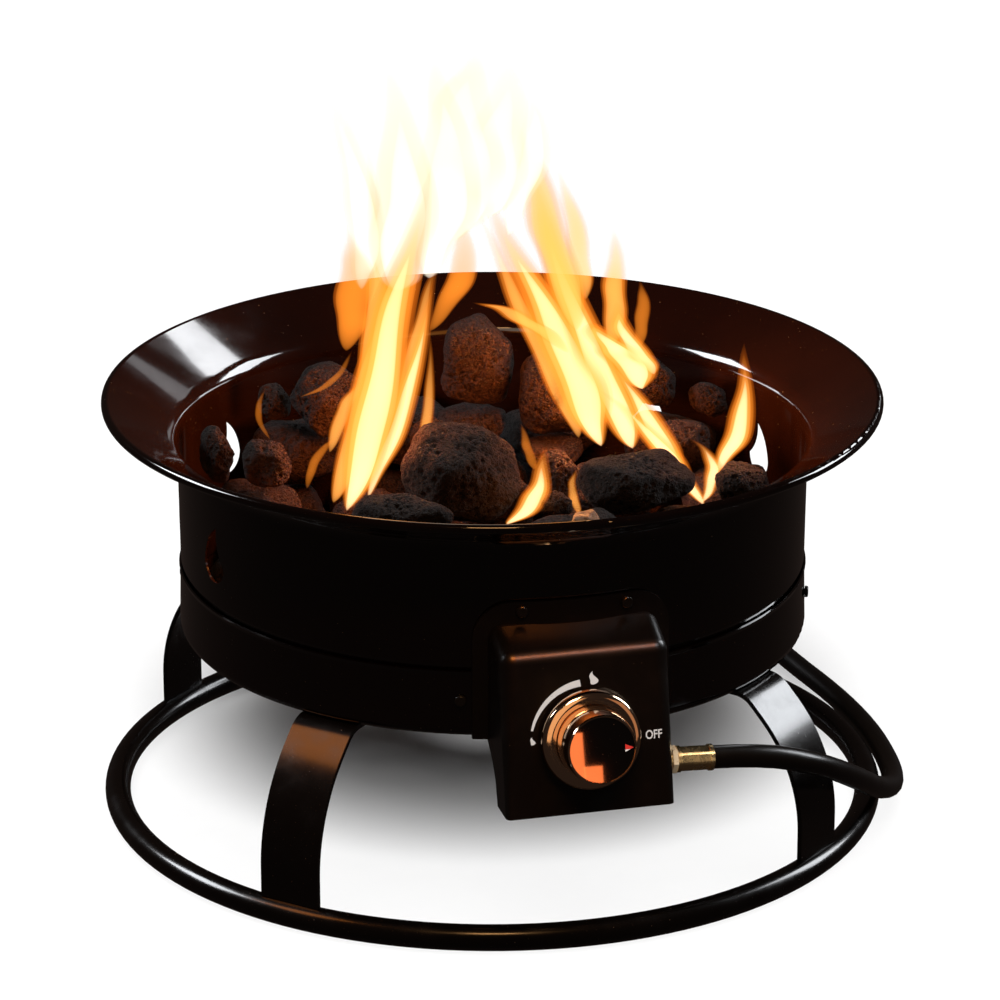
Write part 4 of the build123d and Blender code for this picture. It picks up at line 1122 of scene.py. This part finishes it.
@dataclass
class Fire:
    """The flames, which belong to the stage: lofted tongues of glowing gas, and their light on the stones."""

    turn: float = math.radians(14.2)
    rings: int = 56
    around: int = 20
    flatness: float = 0.55
    foot_power: float = 0.7
    tip_power: float = 0.9
    inner_reach: float = 0.62
    sway_across: tuple = ((0.13, 2.3 * math.pi, 1), (0.05, 5.3 * math.pi, 2))
    sway_away: tuple = ((0.15, 4.3 * math.pi, 3),)
    ripple: tuple = ((0.07, 9.0, 1), (0.03, 21.0, 2))
    light_colour: Colour = (1.0, 0.40, 0.11)
    light_radius: float = 20 * MM
    lights: tuple = (
        ((-75, -25, 262), 4.2),
        ((62, 5, 262), 4.2),
        ((0, 40, 330), 1.6),
        ((25, -75, 232), 0.15),
        ((150, -45, 262), 0.9),
        ((-128, -95, 205), 1.2),
    )
    tongues: tuple = (
        Tongue((-89, -63, 212), (-65, -53, 303), (-38, -43, 423), 17, "hot"),
        Tongue((-99, -49, 212), (-77, -42, 279), (-58, -34, 379), 10, "warm"),
        Tongue((-90, -30, 304), (-83, -28, 342), (-90, -25, 382), 12, "thin"),
        Tongue((-45, -20, 223), (-40, -15, 260), (-38, -10, 311), 4, "warm"),
        Tongue((-76, -39, 212), (-55, -31, 269), (-32, -24, 354), 8, "hot"),
        Tongue((-62, -15, 241), (-47, -10, 304), (-33, -5, 353), 6, "warm"),
        Tongue((-86, -25, 251), (-70, -20, 333), (-76, -15, 427), 10, "warm"),
        Tongue((-101, -25, 236), (-89, -22, 266), (-75, -20, 285), 6, "warm"),
        Tongue((-114, -45, 220), (-107, -42, 239), (-96, -40, 252), 3.6, "thin"),
        Tongue((-58, -35, 343), (-53, -30, 390), (-62, -25, 482), 20, "high"),
        Tongue((-38, -20, 348), (-29, -15, 402), (-31, -10, 484), 20, "high"),
        Tongue((-78, -25, 341), (-80, -20, 394), (-97, -15, 473), 12, "high"),
        Tongue((-22, -5, 367), (-16, -2, 423), (-12, 0, 487), 24, "high"),
        Tongue((-7, 0, 378), (5, 2, 422), (9, 5, 479), 20, "high"),
        Tongue((-44, -5, 367), (-47, -2, 429), (-52, 0, 502), 46, "veil"),
        Tongue((-6, 0, 384), (-6, 2, 434), (-9, 5, 496), 38, "veil"),
        Tongue((10, 5, 367), (23, 8, 414), (25, 10, 459), 12, "high"),
        Tongue((70, 24, 222), (43, 37, 285), (-4, 49, 384), 18, "hot"),
        Tongue((90, 23, 222), (61, 38, 282), (22, 53, 402), 15, "hot"),
        Tongue((54, 41, 222), (30, 51, 280), (-13, 61, 372), 9, "warm"),
        Tongue((50, 10, 304), (37, 15, 364), (13, 20, 436), 14, "warm"),
        Tongue((57, 12, 323), (53, 17, 360), (37, 22, 410), 8, "warm"),
        Tongue((129, -58, 214), (104, -51, 247), (66, -43, 284), 9, "hot"),
        Tongue((120, -45, 224), (97, -38, 258), (69, -30, 308), 10, "hot"),
        Tongue((96, 25, 260), (78, 28, 284), (61, 30, 303), 16, "hot"),
        Tongue((101, 28, 269), (86, 30, 289), (76, 33, 316), 10, "hot"),
        Tongue((73, 33, 286), (77, 36, 320), (74, 38, 365), 9, "warm"),
        Tongue((90, 35, 281), (94, 38, 305), (91, 40, 327), 5, "thin"),
        Tongue((128, -55, 214), (135, -52, 235), (121, -50, 254), 6, "hot"),
        Tongue((139, -35, 228), (151, -32, 257), (155, -30, 309), 9, "hot"),
        Tongue((10, -72, 206), (26, -69, 225), (33, -67, 255), 9, "hot"),
        Tongue((54, -56, 206), (49, -55, 221), (52, -53, 237), 3.5, "warm"),
        Tongue((25, -70, 241), (22, -68, 253), (17, -67, 270), 3.5, "thin"),
        Tongue((46, 20, 286), (18, 22, 308), (-14, 23, 318), 9, "warm"),
        Tongue((-136, -40, 250), (-143, -38, 267), (-138, -37, 282), 2.2, "thin"),
        Tongue((-38, 0, 307), (-19, 2, 345), (-23, 5, 386), 9, "thin"),
        Tongue((-117, -45, 279), (-97, -44, 290), (-85, -42, 308), 3, "thin"),
    )

    def placed(self, across: Measure, away: Measure, up: Measure) -> np.ndarray:
        """Turns places seen by the camera, in millimetres, into the frame's, in metres.

        Args:
            across: To the camera's right of the bowl's axis.
            away: Beyond the axis.
            up: Above the floor.

        Returns:
            The places, xyz last.
        """
        c, sn = math.cos(self.turn), math.sin(self.turn)
        return np.stack([across * c + away * sn, -across * sn + away * c, up], axis=-1) * MM

    def tongue(self, name: str, number: int, own: Tongue, heat: Heat) -> bpy.types.Object:
        """Lofts one layer of a tongue.

        The middle is the parabola through foot, middle and tip, with a sway. The radius goes as s ** 0.7 times
        (1 - s) ** 0.9 for s from the foot to the tip, with a ripple, and the section is an ellipse about half as
        thick as wide. An inner layer is narrower and stops short of the tip.

        Args:
            name: The layer's name.
            number: The tongue's number, which shifts its sway.
            own: Its sizes, in millimetres.
            heat: The layer.

        Returns:
            The layer's object.
        """
        share = heat.value[3]
        s = np.linspace(*ENDS, self.rings)[:, None]
        along = s * (self.inner_reach + (1 - self.inner_reach) * share)
        foot, tip = np.array(own.foot, float), np.array(own.tip, float)
        bend = 2 * np.array(own.middle, float) - (foot + tip) / 2
        middle = foot * (1 - along) ** 2 + 2 * bend * along * (1 - along) + tip * along**2
        middle[:, 0] += own.width * waves(along[:, 0], number, self.sway_across)
        middle[:, 1] += own.width * waves(along[:, 0], number, self.sway_away)
        round_off = s**self.foot_power * (1 - s) ** self.tip_power
        radius = own.width * share * round_off / round_off.max() * (1 + waves(along, number, self.ripple))
        turn = np.linspace(0, 2 * math.pi, self.around, endpoint=False)[None, :]
        across = middle[:, :1] + radius * np.cos(turn)
        away = middle[:, 1:2] + self.flatness * radius * np.sin(turn)
        up = np.repeat(middle[:, 2:], self.around, axis=1)
        return closed_tube(name, self.placed(across, away, up))

    def light(self, number: int, place: Place, watts: float) -> None:
        """Sets up one light inside the flames, which spares the floor."""
        lamp = bpy.data.lights.new(f"fire_light_{number}", "POINT")
        lamp.energy = watts
        lamp.color = self.light_colour
        lamp.shadow_soft_size = self.light_radius
        made = in_scene(lamp.name, lamp)
        made.location = self.placed(*place).tolist()
        made.visible_glossy = False
        link_light(made, ("floor",), spare=True)

    def build(self) -> None:
        """Makes the tongues and the lights inside them."""
        hot = {heat: heat.material() for heat in Heat}
        for number, own in enumerate(self.tongues):
            for heat in LAYERS[own.layers]:
                made = self.tongue(f"flame_{number + 1:02d}_{heat.name.lower()}", number, own, heat)
                dress(made, hot[heat])
                made.visible_diffuse = False
                made.visible_shadow = False
        for number, (place, watts) in enumerate(self.lights):
            self.light(number + 1, place, watts)
        LOG.info("flames: %d", len(self.tongues))


LEFT_FRONT = ("leg_front_left", "base_ring")
VALVE_BOX = ("control_box", "flange_screws")
BRASS = ("hose_ferrule", "inlet_collar", "inlet_elbow")
KNOB = ("knob_body",)
FACE = ("knob_face",)
BOWL = ("fire_bowl",)

AT_LEG = (-0.2, -0.25, 0.1)
AT_BOX = (0.0, -0.2, 0.2)
AT_KNOB = (0.0, -0.23, 0.13)
AT_FACE = (0.0, -0.2568, 0.134)
AT_BRASS = (0.05, -0.22, 0.1)

WINDOW = (0.93, 0.96, 1.0)
PALE_SKY = (0.95, 0.97, 1.0)
BLUISH = (0.9, 0.93, 1.0)
AMBER = (1.0, 0.24, 0.04)
EMBER = (1.0, 0.2, 0.05)


@dataclass
class Studio:
    """Pale floor, soft light and the camera at the photograph's angle."""

    camera_place: Place = (-0.69007, -2.72715, 1.2379)
    camera_aim: Place = (0.004585, -0.00116, 0.19564)
    lens: float = 173.15
    film_width: float = 36.0
    clip: Span = (0.1, 100.0)
    floor_half: float = 30.0
    floor_dark: Colour = (0.86, 0.86, 0.86)
    floor_light: Colour = (0.88, 0.88, 0.88)
    floor_grain: float = 60.0
    floor_roughness: float = 0.9
    world_colour: Colour = (1.0, 0.70, 0.60)
    world_strength: float = 0.022
    lamps: tuple = (
        FloorLight("floor_front", (-0.26, -0.97, 0.90), 5.0, math.radians(34), ("base_pan",)),
        FloorLight("floor_top", (0.0, 0.0, 1.0), 0.7, math.radians(70)),
        SoftBox("sky_panel", (0, 0, 4.2), (0, 0, 0), (5.0, 5.0), 62.0, (1.0, 0.72, 0.56), in_gloss=False),
        SoftBox("left_panel", (-2.2, 1.2, 1.9), (0, 0, 0.2), (1.3, 0.9), 60.0, WINDOW, on_matt=False),
        SoftBox("right_panel", (2.6, 0.4, 1.6), (0, 0, 0.1), (1.0, 1.4), 50.0, WINDOW, on_matt=False),
        SoftBox("front_warm", (-0.4, -1.6, 2.3), (0, 0, 0.15), (0.5, 0.35), 9.0, (1.0, 0.5, 0.18)),
        SoftBox("leg_warm", (-1.4, -0.1, 1.75), AT_LEG, (0.7, 0.6), 5.0, (1.0, 0.30, 0.05), only=LEFT_FRONT),
        SoftBox("box_warm", (-0.05, -1.5, 1.8), AT_BOX, (1.0, 0.3), 40.0, AMBER, on_matt=False, only=VALVE_BOX),
        SoftBox("box_cool", (0.95, -1.5, 1.8), AT_BOX, (0.6, 0.45), 9.0, BLUISH, on_matt=False, only=VALVE_BOX),
        SoftBox("knob_front", (-0.9, -2.0, 0.9), AT_KNOB, (2.4, 2.0), 15.0, (1.0, 0.56, 0.28), only=KNOB),
        SoftBox("knob_top", (-0.3, -0.9, 1.3), AT_KNOB, (0.5, 0.35), 6.0, (1.0, 0.80, 0.55), only=KNOB),
        SoftBox("knob_right", (1.6, -1.6, 0.5), AT_KNOB, (1.4, 1.6), 3.2, (1.0, 0.50, 0.26), only=KNOB),
        SoftBox("knob_glow", (0.0947, -0.7, 0.0754), AT_FACE, (0.0104, 0.035), 0.016, EMBER, only=FACE),
        SoftBox("knob_spark", (0.106, -0.7, 0.0625), AT_FACE, (0.0123, 0.0138), 0.0075, EMBER, only=FACE),
        SoftBox("brass_front", (-0.3, -2.2, 0.3), AT_BRASS, (1.6, 1.0), 14.0, (1.0, 0.86, 0.68), only=BRASS),
        SoftBox("brass_top", (-0.1, -0.9, 1.4), AT_BRASS, (1.4, 0.35), 14.0, (1.0, 0.92, 0.78), only=BRASS),
        SoftBox("flare_left", (1.68, 1.67, 2.1), (-0.2, 0.1, 0.26), (0.62, 0.5), 8.0, PALE_SKY, only=BOWL),
        SoftBox("flare_grey", (1.61, 2.19, 1.45), (-0.2, 0.08, 0.26), (0.5, 0.4), 0.5, PALE_SKY, only=BOWL),
    )

    def floor(self) -> None:
        """Makes the floor, which no piece mirrors and which sheds no light on any."""
        corner = self.floor_half
        flat = np.array([(-corner, -corner, 0), (corner, -corner, 0), (corner, corner, 0), (-corner, corner, 0)])
        floor = mesh_object("floor", flat, [(0, 1, 2, 3)], smooth=False)
        paint = Paint("floor_paper")
        colour = paint.mix(paint.noise(self.floor_grain), self.floor_dark, self.floor_light)
        dress(floor, paint.surface(Base_Color=colour, Roughness=self.floor_roughness))
        floor.visible_glossy = False
        floor.visible_diffuse = False

    def world(self) -> None:
        """Makes the even light from all round."""
        world = bpy.data.worlds.new("studio")
        world.use_nodes = True
        backing = world.node_tree.nodes["Background"]
        backing.inputs["Color"].default_value = (*self.world_colour, 1.0)
        backing.inputs["Strength"].default_value = self.world_strength
        bpy.context.scene.world = world
        bpy.context.scene.view_settings.view_transform = "Standard"

    def camera(self) -> None:
        """Sets the camera up."""
        lens = bpy.data.cameras.new("camera")
        lens.lens = self.lens
        lens.sensor_width = self.film_width
        lens.clip_start, lens.clip_end = self.clip
        camera = in_scene("camera", lens)
        camera.location = self.camera_place
        camera.rotation_euler = facing(Vector(self.camera_aim) - Vector(self.camera_place))
        bpy.context.scene.camera = camera

    def build(self) -> None:
        """Makes the floor, the lamps, the world and the camera."""
        self.floor()
        for lamp in self.lamps:
            lamp.build()
        self.world()
        self.camera()
        LOG.info("studio: %d lamps", len(self.lamps))


def dress_nodes() -> dict[str, bpy.types.Material]:
    """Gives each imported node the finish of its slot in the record.

    Returns:
        The materials by slot.
    """
    materials = {slot: finish.material() for slot, finish in FINISHES.items()}
    for part in frame["record"]["subparts"]:
        dress(frame["nodes"][part["node"]], materials[part["material_slot"]])
    return materials


def write_sizes() -> None:
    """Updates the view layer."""
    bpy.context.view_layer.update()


def main() -> None:
    """Builds the studio, the cord and every sub-assembly's dress, in order."""
    logging.basicConfig(level=logging.INFO, format="%(name)s %(message)s")
    Studio().build()
    materials = dress_nodes()
    GasHose().build(materials)
    LavaBed().build(materials)
    DialMarks().build()
    Fire().build()


if __name__ == "__main__":
    main()
    write_sizes()
